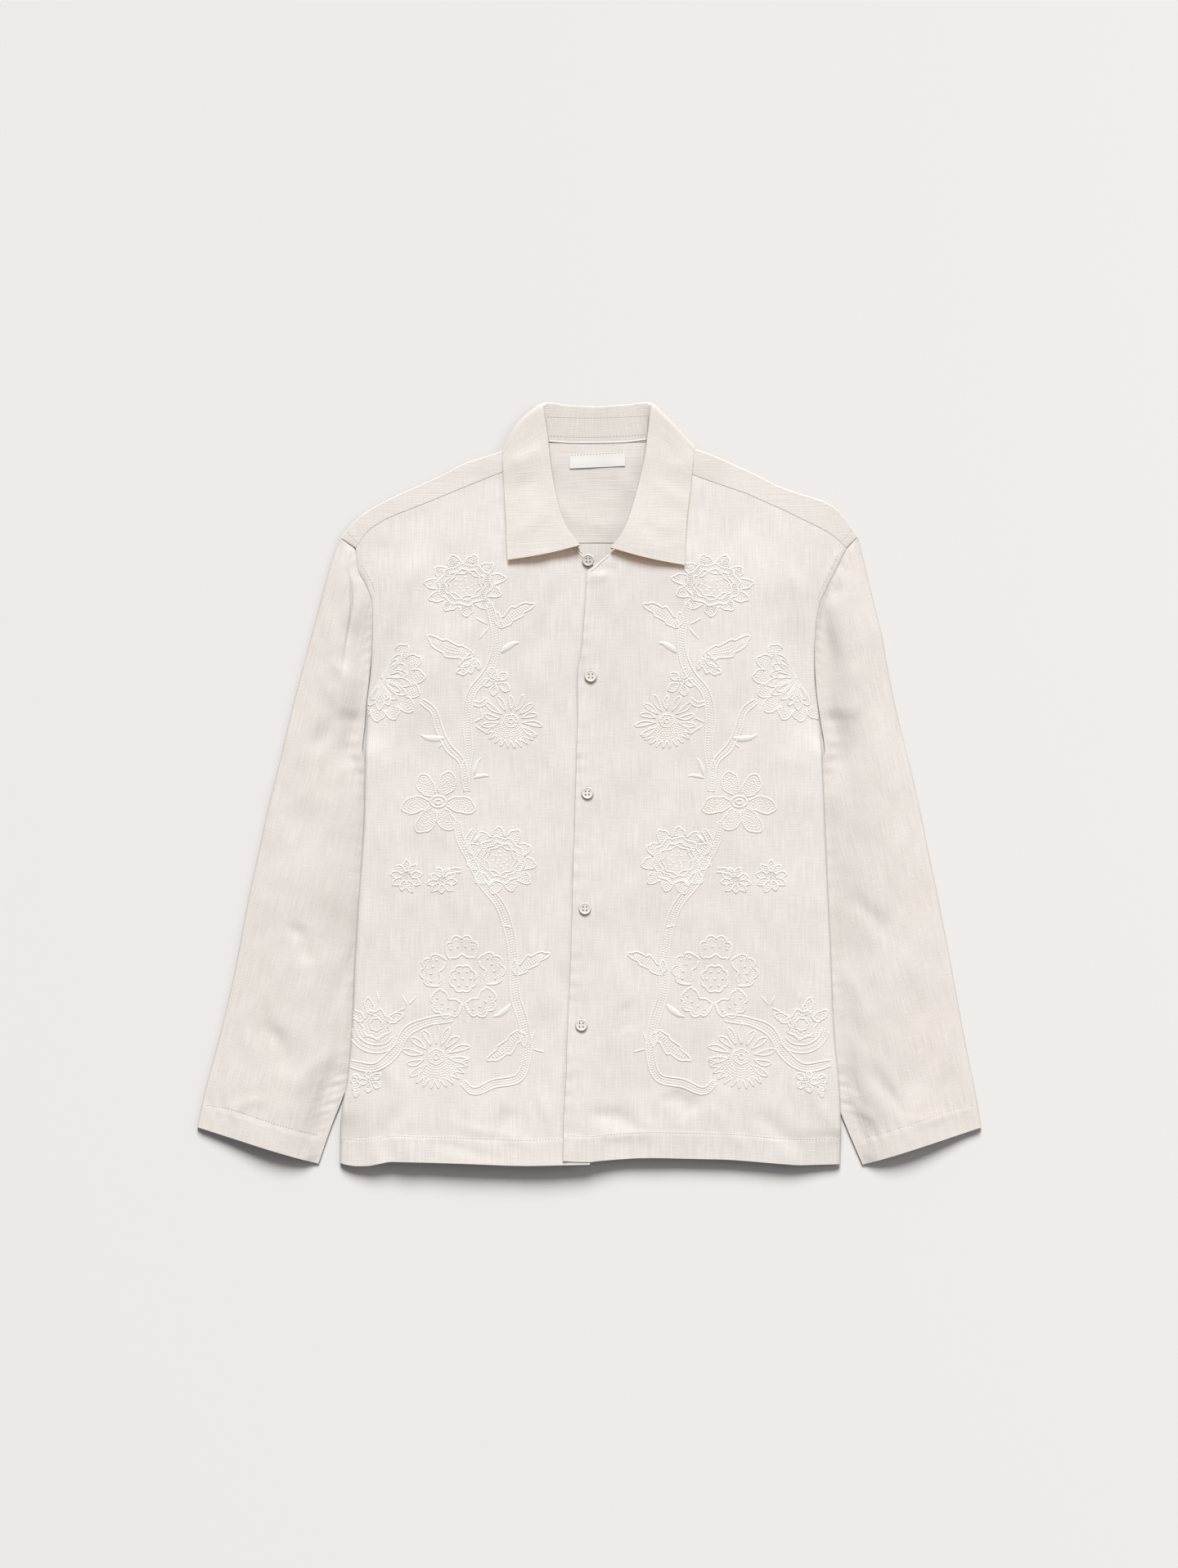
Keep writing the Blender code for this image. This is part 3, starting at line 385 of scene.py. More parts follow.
def linen(name, light, dark, turn=0.0, let_through=0.0):
    """turn is the warp's slant in degrees from the cloth map's second axis. let_through is the
    share of lamp light that each face of the open weave passes on."""
    settings = {"Roughness": 0.86, "Specular IOR Level": 0.25, "Sheen Weight": 0.12}
    settings["Sheen Roughness"] = 0.5
    material, tree, shader = new_material(name, settings)
    place = add_node(tree, "ShaderNodeUVMap", {"uv_map": "cloth"})
    turned = add_node(tree, "ShaderNodeVectorRotate",
                      {"rotation_type": "Z_AXIS", "Angle": math.radians(turn)},
                      {"Vector": place.outputs["UV"]})
    streaks = []
    for width, length, across in ((WARP_WIDTH, WARP_LENGTH, 0), (WEFT_WIDTH, WEFT_LENGTH, 1)):
        scale = [1.0 / (length * METRES)] * 3
        scale[across] = 1.0 / (width * METRES)
        stretched = add_node(tree, "ShaderNodeVectorMath", {"operation": "MULTIPLY", 1: scale},
                             {0: turned.outputs["Vector"]})
        streaks.append(add_node(
            tree, "ShaderNodeTexNoise",
            {"noise_dimensions": "2D", "Scale": 1.0, "Detail": 2.0, "Roughness": 0.65},
            {"Vector": stretched.outputs["Vector"]}))
    warp_share = add_node(tree, "ShaderNodeMath",
                          {"operation": "MULTIPLY_ADD", 1: 1.0, 2: -0.5},
                          {0: streaks[0].outputs["Fac"]})
    both = add_node(tree, "ShaderNodeMath", {"operation": "MULTIPLY_ADD", 1: WEFT_SHARE},
                    {0: streaks[1].outputs["Fac"], 2: warp_share.outputs["Value"]})
    cloudy = add_node(tree, "ShaderNodeTexNoise",
                      {"noise_dimensions": "2D", "Scale": 1.0 / (CLOUD_WIDTH * METRES), "Detail": 2.0,
                       "Roughness": 0.5},
                      {"Vector": turned.outputs["Vector"]})
    tone = add_node(tree, "ShaderNodeMath", {"operation": "MULTIPLY_ADD", 1: CLOUD_SHARE},
                    {0: cloudy.outputs["Fac"], 2: both.outputs["Value"]})
    middle = 0.5 * WEFT_SHARE + 0.5 * CLOUD_SHARE
    spread = add_node(tree, "ShaderNodeMapRange",
                      {"From Min": middle - TONE_SPREAD, "From Max": middle + TONE_SPREAD},
                      {"Value": tone.outputs["Value"]})
    colour = add_node(tree, "ShaderNodeMix", {"data_type": "RGBA", 6: linear(dark), 7: linear(light)},
                      {"Factor": spread.outputs["Result"]})
    tree.links.new(colour.outputs[2], shader.inputs["Base Color"])
    weave = []
    for direction in ("X", "Y"):
        weave.append(add_node(tree, "ShaderNodeTexWave",
                              {"bands_direction": direction, "Distortion": 1.4, "Detail": 1.0,
                               "Scale": WAVE_METRES / (WEAVE_PITCH * METRES)},
                              {"Vector": turned.outputs["Vector"]}))
    woven = add_node(tree, "ShaderNodeMath", {"operation": "ADD"},
                     {0: weave[0].outputs["Fac"], 1: weave[1].outputs["Fac"]})
    height = add_node(tree, "ShaderNodeMath", {"operation": "MULTIPLY_ADD", 1: WEAVE_SHARE},
                      {0: woven.outputs["Value"], 2: both.outputs["Value"]})
    bump = add_node(tree, "ShaderNodeBump", {"Strength": 0.55, "Distance": 0.25 * METRES},
                    {"Height": height.outputs["Value"]})
    tree.links.new(bump.outputs["Normal"], shader.inputs["Normal"])
    if let_through:
        lighten_shadow(tree, shader, let_through)
    return material


def back_grid():
    rows = []
    for v in row_shares(BACK_HEM_Y, back_seam_y(side_x(BACK_TOP_Y, True)) - BACK_SEAM):
        row = []
        for left in (True, False):
            inward = 1.0 if left else -1.0
            half = []
            for step in BACK_STEPS:
                y = BACK_HEM_Y
                for _ in range(SLANT_ROUNDS):
                    x = side_x(y, left) + inward * step
                    y = BACK_HEM_Y + (back_seam_y(x) - BACK_SEAM - BACK_HEM_Y) * v
                half.append((x, y, back_z(y, left, step)))
            row += half if left else half[::-1]
        rows.append(row)
    return np.array(rows)


body_linen = linen("washed linen, body", "F5EFEA", "DFD6CF")
points, _, column_place = finer(back_grid(), BACK_STEP)
edge_room = soft_step(from_ends(column_place) / EDGE_ROOM - EDGE_ROOM_FROM)
lift = creased(points, BACK_CREASES) + np.abs(unevenness(points, *BACK_WAVES))
points[..., 2] += lift * edge_room[None, :]
back = cloth_piece("back_cloth", points, grid_quads(*points.shape[:2], turned=True), body_linen)
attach(back, "root")
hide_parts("back")

# The yoke is one piece of linen over both shoulders. It lies on the floor inside the collar, rolls
# over at the shoulder fold and is sewn to the fronts a little below it.
SHOULDER_Y = 300.0
YOKE_END_Y = 219.2
# x, y of the shoulder folds, the front seams and the neck
RIGHT_FOLD = (
    (-242.8, 241.8), (-235.9, 250.8), (-224.0, 263.8), (-205.4, 274.5), (-184.1, 285.2),
    (-163.0, 294.4), (-147.0, 301.4), (-127.8, 312.4), (-107.5, 319.3), (-83.0, 326.8),
    (-57.4, 338.0),
)
RIGHT_SEAM = (
    (-228.2, 231.0), (-224.6, 236.7), (-217.4, 246.8), (-207.0, 254.8), (-189.4, 263.8),
    (-164.6, 273.2), (-127.8, 288.4), (-83.8, 306.0), (-52.2, 317.2),
)
LEFT_FOLD = (
    (263.2, 243.2), (254.6, 255.8), (245.0, 269.2), (228.1, 278.4), (192.2, 289.2),
    (156.8, 306.8), (121.0, 322.8), (101.8, 329.2), (71.4, 338.8),
)
LEFT_SEAM = (
    (252.2, 231.0), (241.4, 242.0), (230.6, 249.2), (221.5, 253.2), (192.2, 267.6),
    (156.8, 283.6), (121.0, 296.0), (101.4, 302.8), (66.6, 318.0),
)
BACK_NECK = ((-57.4, 335.2), (-35.8, 334.4), (9.0, 334.0), (49.8, 334.8), (71.4, 336.0))
FOLD_LINE = RIGHT_FOLD + LEFT_FOLD
# y, right front, left front
CROWN = (
    (-372.0, 16.5, 12.0),
    (-340.0, 15.5, 12.5),
    (-250.0, 13.5, 13.0),
    (0.0, 13.0, 13.0),
    (200.0, 13.5, 13.5),
    (300.0, 13.0, 13.0),
)
# The right front's crown turns into the left one's over this half width.
CROWN_BLEND = 40.0
# The layers rise from the sides and come down toward the shoulders, sooner beside the collar.
PUFF_ACROSS = 70.0
SHOULDER_RAMP = 170.0
COLLAR_RAMP = 110.0
COLLAR_ZONE = 92.0
COLLAR_ZONE_FADE = 40.0
FOLD_WIDE = 1.2
SEAM_STAND = 0.8
# The collar's stand holds the yoke up at the neck.
COLLAR_LIFT = 1.6
LIFT_HALF = 97.0
LIFT_HALF_FADE = 45.0
LIFT_FROM_Y = 290.0
LIFT_RUN = 28.0
YOKE_SHARES = (
    0.0, 0.0006, 0.0042, 0.0142, 0.05, 0.10, 0.17, 0.25, 0.34, 0.44, 0.55, 0.67, 0.79, 0.90, 1.0,
)
# Distances of the yoke's first columns from its side. All others count as well inside.
YOKE_EDGES = (0.0, 0.1, 0.88, 3.0)
WELL_INSIDE = 50.0
# Up to this share a column on the floor runs toward the seam, and from there to the fold.
YOKE_BEND = 0.8
YOKE_BACK_ROWS = (0.0, 0.25, 0.5, 0.7, 0.8, 0.9, 1.0)
YOKE_ARC = (30.0, 60.0, 90.0, 120.0, 150.0, 180.0)
YOKE_TOP_ROWS = (0.02, 0.3, 0.65, 1.0)
NECK_X = (-46.0, -35.8, -15.8, 9.0, 30.6, 49.8, 60.0)
# Waves end this many rows before the fold, and this many columns from the sides.
FOLD_ROOM = 2.5
YOKE_EDGE_ROOM = 5.0
YOKE_WAVES = (30.0, 0.7, 11.0)
YOKE_CREASES = (
    (-60.0, 300.0, -20.0, 262.0, 9.0, 0.7),
    (30.0, 306.0, 52.0, 268.0, 8.0, 0.8),
    (-30.0, 258.0, 40.0, 254.0, 7.0, 0.6),
)


def run_along(points):
    """Distance along a line at each of its points."""
    return np.concatenate([[0.0], np.cumsum(np.linalg.norm(np.diff(points, axis=0), axis=1))])


def along(points, share):
    """The point at a share of a line's length."""
    p = np.array(points, float)
    run = run_along(p)
    return np.array([np.interp(share * run[-1], run, p[:, k]) for k in (0, 1)])


def height_by_x(points, x):
    """y of a line at x."""
    p = sorted(points)
    return float(np.interp(x, [q[0] for q in p], [q[1] for q in p]))


def collar_lift(x, y):
    across = 1.0 - soft_step((abs(x - NECK_MID_X) - LIFT_HALF) / LIFT_HALF_FADE)
    return COLLAR_LIFT * across * soft_step((y - LIFT_FROM_Y) / LIFT_RUN)


def top_z(x, y, edge=None):
    """Height of the upper layer's outer face. edge is the distance from the side if known."""
    from_left = x - side_x(y, True)
    from_right = side_x(y, False) - x
    left = from_left < from_right
    d = max(min(from_left, from_right) if edge is None else edge, 0.0)
    low = rise(y, left) + table_at(SIDE_HEIGHTS, y, 3)
    if d < FOLD_R:
        curve = math.sqrt(FOLD_R ** 2 - (FOLD_R - d) ** 2)
        stand = (FOLD_R - curve) * SEAM_STAND * armhole(y)
        return low + curve + stand + collar_lift(x, y)
    blend = soft_step((x + CROWN_BLEND) / (2.0 * CROWN_BLEND))
    crown = table_at(CROWN, y, 1) * (1.0 - blend) + table_at(CROWN, y, 2) * blend
    shell = low + FOLD_R
    below = max(height_by_x(FOLD_LINE, x) - FOLD_R - y, 0.0)
    beside_collar = soft_step((abs(x - NECK_MID_X) - COLLAR_ZONE) / COLLAR_ZONE_FADE)
    down = min(below / (COLLAR_RAMP + (SHOULDER_RAMP - COLLAR_RAMP) * beside_collar), 1.0)
    return shell + (crown - shell) * swell((d - FOLD_R) / PUFF_ACROSS) * down + collar_lift(x, y)


def yoke_column(fold, seam, share, number):
    """One shoulder column: along the floor, round the fold and down to the front seam."""
    f = along(fold, share)
    s = along(seam, share) + np.array([0.0, SEAM])
    left = f[0] < NECK_MID_X
    part_way = (f[0] - fold[0][0]) / (fold[-1][0] - fold[0][0])
    back_end = side_x(YOKE_END_Y, left) * (1.0 - part_way) + fold[-1][0] * part_way
    b = np.array([back_end, back_seam_y(back_end) + BACK_SEAM])
    outward = (f - b) / np.linalg.norm(f - b) + (f - s) / np.linalg.norm(f - s)
    outward /= np.linalg.norm(outward)
    edge = YOKE_EDGES[number] if number < len(YOKE_EDGES) else WELL_INSIDE
    radius = 0.5 * (table_at(SIDE_HEIGHTS, SHOULDER_Y, 3) + FOLD_R)
    centre = f - outward * FOLD_WIDE
    column = []
    for v in YOKE_BACK_ROWS:
        if v < YOKE_BEND:
            p = b + (s - b) * v / YOKE_BEND
        else:
            p = s + (centre - s) * (v - YOKE_BEND) / (1.0 - YOKE_BEND)
        column.append((p[0], p[1], collar_lift(*p)))
    for angle in YOKE_ARC:
        a = math.radians(angle)
        p = centre + outward * FOLD_WIDE * math.sin(a)
        column.append((p[0], p[1], collar_lift(*f) + radius * (1.0 - math.cos(a))))
    for v in YOKE_TOP_ROWS:
        p = centre + (s - centre) * v
        z = top_z(p[0], p[1], edge if edge < FOLD_R else None)
        if edge < FOLD_R:
            z = 2.0 * radius * (1.0 - v) + top_z(s[0], s[1], edge) * v
        column.append((p[0], p[1], z))
    return column


def yoke_columns():
    """Both shoulders and the back neck between them, as rows of columns."""
    right_side = [yoke_column(RIGHT_FOLD, RIGHT_SEAM, s, i) for i, s in enumerate(YOKE_SHARES)]
    left_side = [yoke_column(LEFT_FOLD, LEFT_SEAM, s, i) for i, s in enumerate(YOKE_SHARES)]
    middle = []
    for x in NECK_X:
        low, high = back_seam_y(x) + BACK_SEAM, height_by_x(BACK_NECK, x)
        heights = [low + (high - low) * v for v in YOKE_BACK_ROWS]
        column = [(x, y, collar_lift(x, y)) for y in heights]
        middle.append(column + [column[-1]] * (len(right_side[0]) - len(column)))
    return np.array(right_side + middle + left_side[::-1]).swapaxes(0, 1)


points, row_place, column_place = finer(yoke_columns())
on_floor = soft_step(len(YOKE_BACK_ROWS) - FOLD_ROOM - row_place)[:, None]
edge_room = soft_step(from_ends(column_place) / YOKE_EDGE_ROOM)[None, :]
lift = np.abs(unevenness(points, *YOKE_WAVES)) + creased(points, YOKE_CREASES)
points[..., 2] += lift * on_floor * edge_room
# The neck opening has no cells: past its back rows only the two shoulders go on.
first, last = len(YOKE_SHARES) - 1, len(YOKE_SHARES) + len(NECK_X)
row_mid, column_mid = middles(row_place)[:, None], middles(column_place)[None, :]
kept_cells = (row_mid < len(YOKE_BACK_ROWS) - 1) | (column_mid < first) | (column_mid > last)
# The yoke's linen is a touch darker than the body's: painted shade, so that its slopes toward the lamp
# don't look brighter.
yoke_linen = linen("washed linen, yoke, darkened as painted shade", "F3EDE8", "DED5CD", turn=90.0)
quads = grid_quads(*points.shape[:2], kept_cells, turned=True)
yoke = cloth_piece("yoke_cloth", points, quads, yoke_linen)
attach(yoke, "root")
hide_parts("yoke")

# The two fronts are cut from the same linen. Their upper edges are sewn to the yoke, their centre
# edges turn in as the placket, and the left one laps over the right one. The hems are turned twice
# and stitched 25 mm up.
HEM_DEEP = 25.0
# The turned hem's extra height, and half the width of the step up to it.
HEM_STEP = 0.45
HEM_STEP_HALF = 0.8
# Where the hem's columns are read along the side and centre edges.
HEM_Y = -370.0
# x, y of the neck edges
RIGHT_NECK = (
    (-52.2, 317.2), (-51.0, 311.6), (-47.0, 294.0), (-38.2, 271.6), (-27.0, 250.0),
    (-16.6, 236.4), (-9.8, 230.4), (1.8, 216.6), (10.6, 210.0),
)
LEFT_NECK = (
    (66.6, 318.0), (65.4, 312.4), (60.2, 294.0), (52.2, 271.6), (41.0, 250.0),
    (30.6, 234.0), (22.6, 227.6), (5.8, 214.8), (-1.4, 209.2),
)
# y, x of the centre edges
OVERLAP_EDGE = (
    (-367.0, -25.1), (-331.6, -24.6), (-290.8, -22.2), (-231.6, -20.2), (-208.4, -18.6),
    (-27.2, -13.4), (35.2, -11.6), (71.6, -10.2), (106.0, -11.2), (132.4, -6.2), (209.2, -1.4),
)
UNDERLAP_EDGE = ((-371.0, 1.0), (-235.0, 5.8), (-8.0, 11.6), (106.0, 14.8), (210.0, 10.6))
# x, y of the hems
RIGHT_HEM = (
    (-243.8, -370.0), (-235.9, -373.2), (-217.6, -373.0), (-191.8, -368.4), (-125.7, -370.0),
    (-67.8, -372.4), (2.0, -371.2),
)
LEFT_HEM = (
    (-25.1, -367.4), (-4.0, -369.1), (12.2, -367.4), (53.8, -364.7), (138.4, -366.7),
    (204.6, -372.2), (246.2, -371.6),
)
# The buttonhole side is lifted by the button side under it, and its edge springs up a little.
LAP_LIFT = 1.7
LAP_FROM = 3.0
LAP_RUN = 30.0
EDGE_SPRING = 0.9
EDGE_SPRING_RUN = 4.0
# It sinks no deeper than this over the lap, and deeper by more beyond it.
LAP_SINK = 0.5
SINK_MORE = 2.0
SINK_FROM = 22.0
SINK_RUN = 25.0
# The armhole's seam allowance lies under the fronts as a strip.
STRIP_WIDE = 6.0
STRIP_HIGH = 0.7
STRIP_FROM_Y = 186.0
STRIP_RUN = 24.0
STRIP_HALF_FADE = 0.9
STRIP_RIPPLE = 0.35
STRIP_PITCH = 7.0
# Rows beside the shoulder and at the hem's stitches, and distances of columns from the side.
SHOULDER_ROWS = (218.0, 225.0)
HEM_ROWS = (-347.2, -346.0, -344.8)
EDGE_STEPS = (0.0, 0.1, 0.88, 3.0)
# The neck edge's room beside the collar, and the least space between two columns.
NECK_SHIFT = 0.2
LEAST_SHARE = 0.012
# A column's top is found between these heights by halving.
TOP_SPAN = (150.0, 330.0)
HALVINGS = 30
# Creases begin this many columns from the side, and fade over this height under the yoke.
FLAT_COLUMNS = 2.0
TOP_ROOM = 2.0
TOP_RUN = 12.0
# size and height of waves; reach, height and pitch of puckers
FRONT_WAVES = (42.0, 1.1)
FRONT_RIPPLES = (15.0, 0.35)
HEM_PUCKERS = (7.0, 0.35, 13.0)
CENTRE_PUCKERS = (8.0, 0.3, 15.0)
# Puckers drift in pitch over 31 mm of a seam, and swell and fade over 17 mm.
PUCKER_DRIFT = 1.3
DRIFT_RUN = 31.0
PUCKER_SWELL = 0.4
SWELL_RUN = 17.0
# Troughs are negative heights and ridges positive ones.
RIGHT_FRONT_CREASES = (
    (-193.0, -318.0, -199.0, -366.0, 8.0, -1.5),
    (-210.0, -322.0, -213.0, -368.0, 5.0, 0.9),
    (-176.0, -322.0, -172.0, -366.0, 7.0, 0.8),
    (-72.0, -322.0, -96.0, -345.0, 9.0, -1.3),
    (-128.0, -330.0, -60.0, -352.0, 6.0, 0.7),
    (-150.0, -352.0, -92.0, -362.0, 5.0, -0.6),
    (-46.0, -300.0, -34.0, -350.0, 6.0, 0.8),
    (-180.0, 180.0, -196.0, 60.0, 11.0, -0.9),
    (-168.0, 230.0, -188.0, 150.0, 12.0, 0.7),
    (-60.0, 180.0, -46.0, 20.0, 14.0, 0.6),
    (-34.0, 60.0, -42.0, -140.0, 10.0, -0.5),
    (-60.0, -110.0, -36.0, -230.0, 12.0, 0.6),
    (-204.0, -20.0, -210.0, -200.0, 9.0, -0.7),
    (-30.0, 196.0, -52.0, 120.0, 8.0, -0.6),
    (-214.0, -270.0, -180.0, -296.0, 7.0, 0.7),
)
LEFT_FRONT_CREASES = (
    (86.0, -300.0, 98.0, -322.0, 10.0, -1.4),
    (40.0, -306.0, 62.0, -340.0, 8.0, 1.0),
    (4.0, -318.0, 36.0, -330.0, 7.0, -1.2),
    (10.0, -338.0, 60.0, -345.0, 6.0, 0.9),
    (120.0, -318.0, 150.0, -352.0, 7.0, 0.8),
    (164.0, -326.0, 206.0, -352.0, 8.0, -1.0),
    (32.0, -218.0, 44.0, -236.0, 9.0, -0.8),
    (216.0, -286.0, 232.0, -330.0, 6.0, 0.9),
    (20.0, 190.0, 34.0, 60.0, 13.0, 0.7),
    (14.0, 178.0, 8.0, 120.0, 5.0, -0.6),
    (206.0, 150.0, 196.0, 40.0, 11.0, -0.8),
    (200.0, 210.0, 214.0, 150.0, 9.0, 0.7),
    (24.0, -20.0, 34.0, -160.0, 12.0, -0.5),
    (178.0, -60.0, 190.0, -200.0, 14.0, 0.5),
    (2.0, 202.0, 20.0, 206.0, 4.0, 0.8),
    (10.0, 214.0, 24.0, 205.0, 3.5, -0.9),
)


def overlap_lift(x, y):
    """How far the buttonhole side is lifted by the button side under it."""
    under = table_at(UNDERLAP_EDGE, y, 1)
    return LAP_LIFT * (1.0 - soft_step((x - under - LAP_FROM) / LAP_RUN))


def front_grid(left, seam, neck, hem, centre_rows):
    """A front from its side to its centre edge, up to the yoke seam and neck edge."""
    sign = 1.0 if left else -1.0
    seam_points = [along(seam, share) for share in YOKE_SHARES]
    top_line = [(p[0], p[1] - SEAM) for p in seam_points[:-1]]
    top_line += [(p[0] + sign * NECK_SHIFT, p[1] - SEAM) for p in neck]
    columns = [("edge", step) for step in EDGE_STEPS]
    last_share = 0.0
    for x, y in top_line[1:-1]:
        side, centre = side_x(y, not left), table_at(centre_rows, y, 1)
        share = (x - side + sign * FOLD_R) / (centre - side + sign * FOLD_R)
        if share > last_share + LEAST_SHARE:
            columns.append(("share", share))
            last_share = share
    columns.append(("share", 1.0))

    def x_at(column, y):
        kind, value = column
        side = side_x(y, not left)
        if kind == "edge":
            return side - sign * value
        start = side - sign * FOLD_R
        return start + (table_at(centre_rows, y, 1) - start) * value

    rows = []
    hem_side_y = height_by_x(hem, side_x(HEM_Y, not left))
    for v in row_shares(hem_side_y, top_line[0][1], SHOULDER_ROWS + HEM_ROWS):
        row = []
        for column in columns:
            low, high = TOP_SPAN
            for _ in range(HALVINGS):
                mid = 0.5 * (low + high)
                if mid < height_by_x(top_line, x_at(column, mid)):
                    low = mid
                else:
                    high = mid
            if column == ("share", 1.0):
                low = top_line[-1][1]
            if column == ("edge", 0.0):
                low = top_line[0][1]
            bottom = height_by_x(hem, x_at(column, HEM_Y))
            y = bottom + (low - bottom) * v
            x = x_at(column, y)
            z = top_z(x, y, column[1] if column[0] == "edge" else None)
            row.append((x, y, z + (overlap_lift(x, y) if left else 0.0)))
        rows.append(row)
    return np.array(rows)


def seam_puckers(distance, run, reach, height, pitch):
    """Small ripples across a seam, as heights, from the distance to it and the place along it."""
    drift = PUCKER_DRIFT * np.sin(run / DRIFT_RUN)
    swelling = 1.0 - PUCKER_SWELL + PUCKER_SWELL * np.sin(run / SWELL_RUN)
    wave = np.sin(run * 2.0 * math.pi / pitch + drift) * swelling
    return height * wave * np.exp(-np.abs(distance) / reach)


def hem_step(inside):
    """The step of a turned hem, as heights, from how far inside its fold a point is."""
    return HEM_STEP * soft_step((inside + HEM_STEP_HALF) / (2.0 * HEM_STEP_HALF))


def dress_front(points, column_place, left, hem, centre_rows, creases, seeds):
    """Adds a front's creases, puckers and hem step to its points."""
    x, y = points[..., 0], points[..., 1]
    room = soft_step((column_place - FLAT_COLUMNS) / FLAT_COLUMNS)[None, :]
    room = room * soft_step((y.max(axis=0)[None, :] - y + TOP_ROOM) / TOP_RUN)
    added = creased(points, creases) + unevenness(points, *FRONT_WAVES, seeds[0])
    added += unevenness(points, *FRONT_RIPPLES, seeds[1])
    line = np.interp(x, [p[0] for p in hem], [p[1] for p in hem]) + HEM_DEEP
    added += seam_puckers(y - line, x, *HEM_PUCKERS)
    centre = np.interp(y, [p[0] for p in centre_rows], [p[1] for p in centre_rows])
    added += seam_puckers(x - centre, y, *CENTRE_PUCKERS)
    added += hem_step(line - y)
    from_side = np.abs(x - x[:, :1])
    strip_wide = STRIP_WIDE * soft_step((y - STRIP_FROM_Y) / STRIP_RUN)
    strip = soft_step((strip_wide - from_side + STRIP_HALF_FADE) / (2.0 * STRIP_HALF_FADE))
    added += strip * (STRIP_HIGH + STRIP_RIPPLE * np.sin(y * 2.0 * math.pi / STRIP_PITCH + from_side))
    if left:
        added += EDGE_SPRING * np.exp((centre - x) / EDGE_SPRING_RUN)
        sink = LAP_SINK + SINK_MORE * soft_step((x - centre - SINK_FROM) / SINK_RUN)
        added = np.maximum(added, -sink)
    points[..., 2] += added * room
    return points


fronts = {}
for name, left, seam, neck, hem, centre_rows, creases, seeds in (
    ("right_front", False, RIGHT_SEAM, RIGHT_NECK, RIGHT_HEM, UNDERLAP_EDGE, RIGHT_FRONT_CREASES,
     (20.0, 25.0)),
    ("left_front", True, LEFT_SEAM, LEFT_NECK, LEFT_HEM, OVERLAP_EDGE, LEFT_FRONT_CREASES,
     (21.0, 26.0)),
):
    points, _, column_place = finer(front_grid(left, seam, neck, hem, centre_rows))
    points = dress_front(points, column_place, left, hem, centre_rows, creases, seeds)
    front = cloth_piece(name + "_cloth", points, grid_quads(*points.shape[:2], turned=left), body_linen)
    fronts[name] = front
    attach(front, "root")
    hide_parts(name)

# The sleeves are one tube each, set into the armholes and pressed flat down beside the body. Their
# inner edge is tucked under the body's side, and the cuffs are plain hems turned twice.
CUFF_DEEP = 23.0
# The first rows are the head, which is sewn to the armhole.
HEAD_SECTIONS = 11
# outer x, y, inner x, y, puff; an inner x of 0 stands for the body's side
RIGHT_SLEEVE = (
    (-244.0, 240.3, -240.6, 240.9, 0.0),
    (-245.9, 235.0, -233.3, 235.7, 0.5),
    (-249.6, 225.2, 0.0, 225.0, 1.4),
    (-254.2, 211.0, 0.0, 211.0, 2.4),
    (-259.0, 194.0, 0.0, 194.0, 3.4),
    (-263.8, 175.6, 0.0, 176.0, 4.2),
    (-267.8, 160.0, 0.0, 160.0, 4.6),
    (-271.8, 145.2, 0.0, 145.0, 5.0),
    (-277.2, 125.0, 0.0, 125.0, 5.3),
    (-282.5, 105.2, 0.0, 105.0, 5.6),
    (-289.4, 79.0, 0.0, 77.0, 5.8),
    (-294.2, 59.6, -219.0, 61.0, 6.0),
    (-300.6, 31.6, -221.4, 33.6, 6.3),
    (-305.6, 11.0, -213.0, 10.0, 6.4),
    (-311.8, -12.4, -206.2, -16.4, 6.6),
    (-322.8, -63.0, -208.4, -76.0, 6.8),
    (-333.7, -113.2, -211.0, -136.4, 7.0),
    (-347.2, -184.4, -219.0, -220.4, 7.6),
    (-358.2, -232.4, -229.4, -274.8, 8.2),
    (-366.2, -263.6, -239.8, -304.4, 8.8),
    (-375.3, -296.9, -251.8, -334.8, 9.6),
    (-383.8, -335.2, -264.6, -371.6, 10.4),
)
LEFT_SLEEVE = (
    (264.1, 240.6, 260.2, 241.2, 0.0),
    (265.6, 235.0, 255.2, 235.6, 0.5),
    (267.9, 225.2, 0.0, 225.0, 1.4),
    (271.4, 211.0, 0.0, 211.0, 2.4),
    (275.4, 194.0, 0.0, 194.0, 3.4),
    (279.8, 175.6, 0.0, 176.0, 4.2),
    (283.6, 160.0, 0.0, 160.0, 4.6),
    (287.4, 145.2, 0.0, 145.0, 5.0),
    (290.6, 125.0, 0.0, 125.0, 5.3),
    (294.4, 105.2, 0.0, 105.0, 5.6),
    (300.0, 78.0, 0.0, 77.0, 5.8),
    (304.2, 59.6, 227.0, 61.0, 6.0),
    (311.4, 31.6, 230.8, 33.6, 6.3),
    (316.4, 11.0, 222.6, 10.0, 6.4),
    (321.8, -12.4, 216.0, -16.4, 6.6),
    (332.2, -63.0, 219.0, -72.0, 6.8),
    (342.6, -113.2, 222.0, -130.0, 7.0),
    (356.2, -184.4, 226.0, -210.0, 7.4),
    (365.0, -232.4, 232.0, -270.0, 7.8),
    (371.0, -263.6, 239.5, -303.0, 8.2),
    (377.8, -296.9, 251.0, -333.0, 8.8),
    (384.6, -335.6, 268.0, -372.6, 9.4),
)
SLEEVE_STEP = 2.6
ARMHOLE_GAP = 0.75
TUCKED_UNDER = 0.8
# The head lies a step lower than the front at the seam, and lower still at its tip.
SEAM_STEP = 0.2
TIP_STEP = 0.5
TIP_FROM_Y = 224.0
TIP_RUN = 8.0
# Below the head's upper part the seam sinks between sleeve and front.
ARMHOLE_SINK = 1.8
ARMHOLE_SINK_Y = 150.0
ARMHOLE_SINK_RUN = 45.0
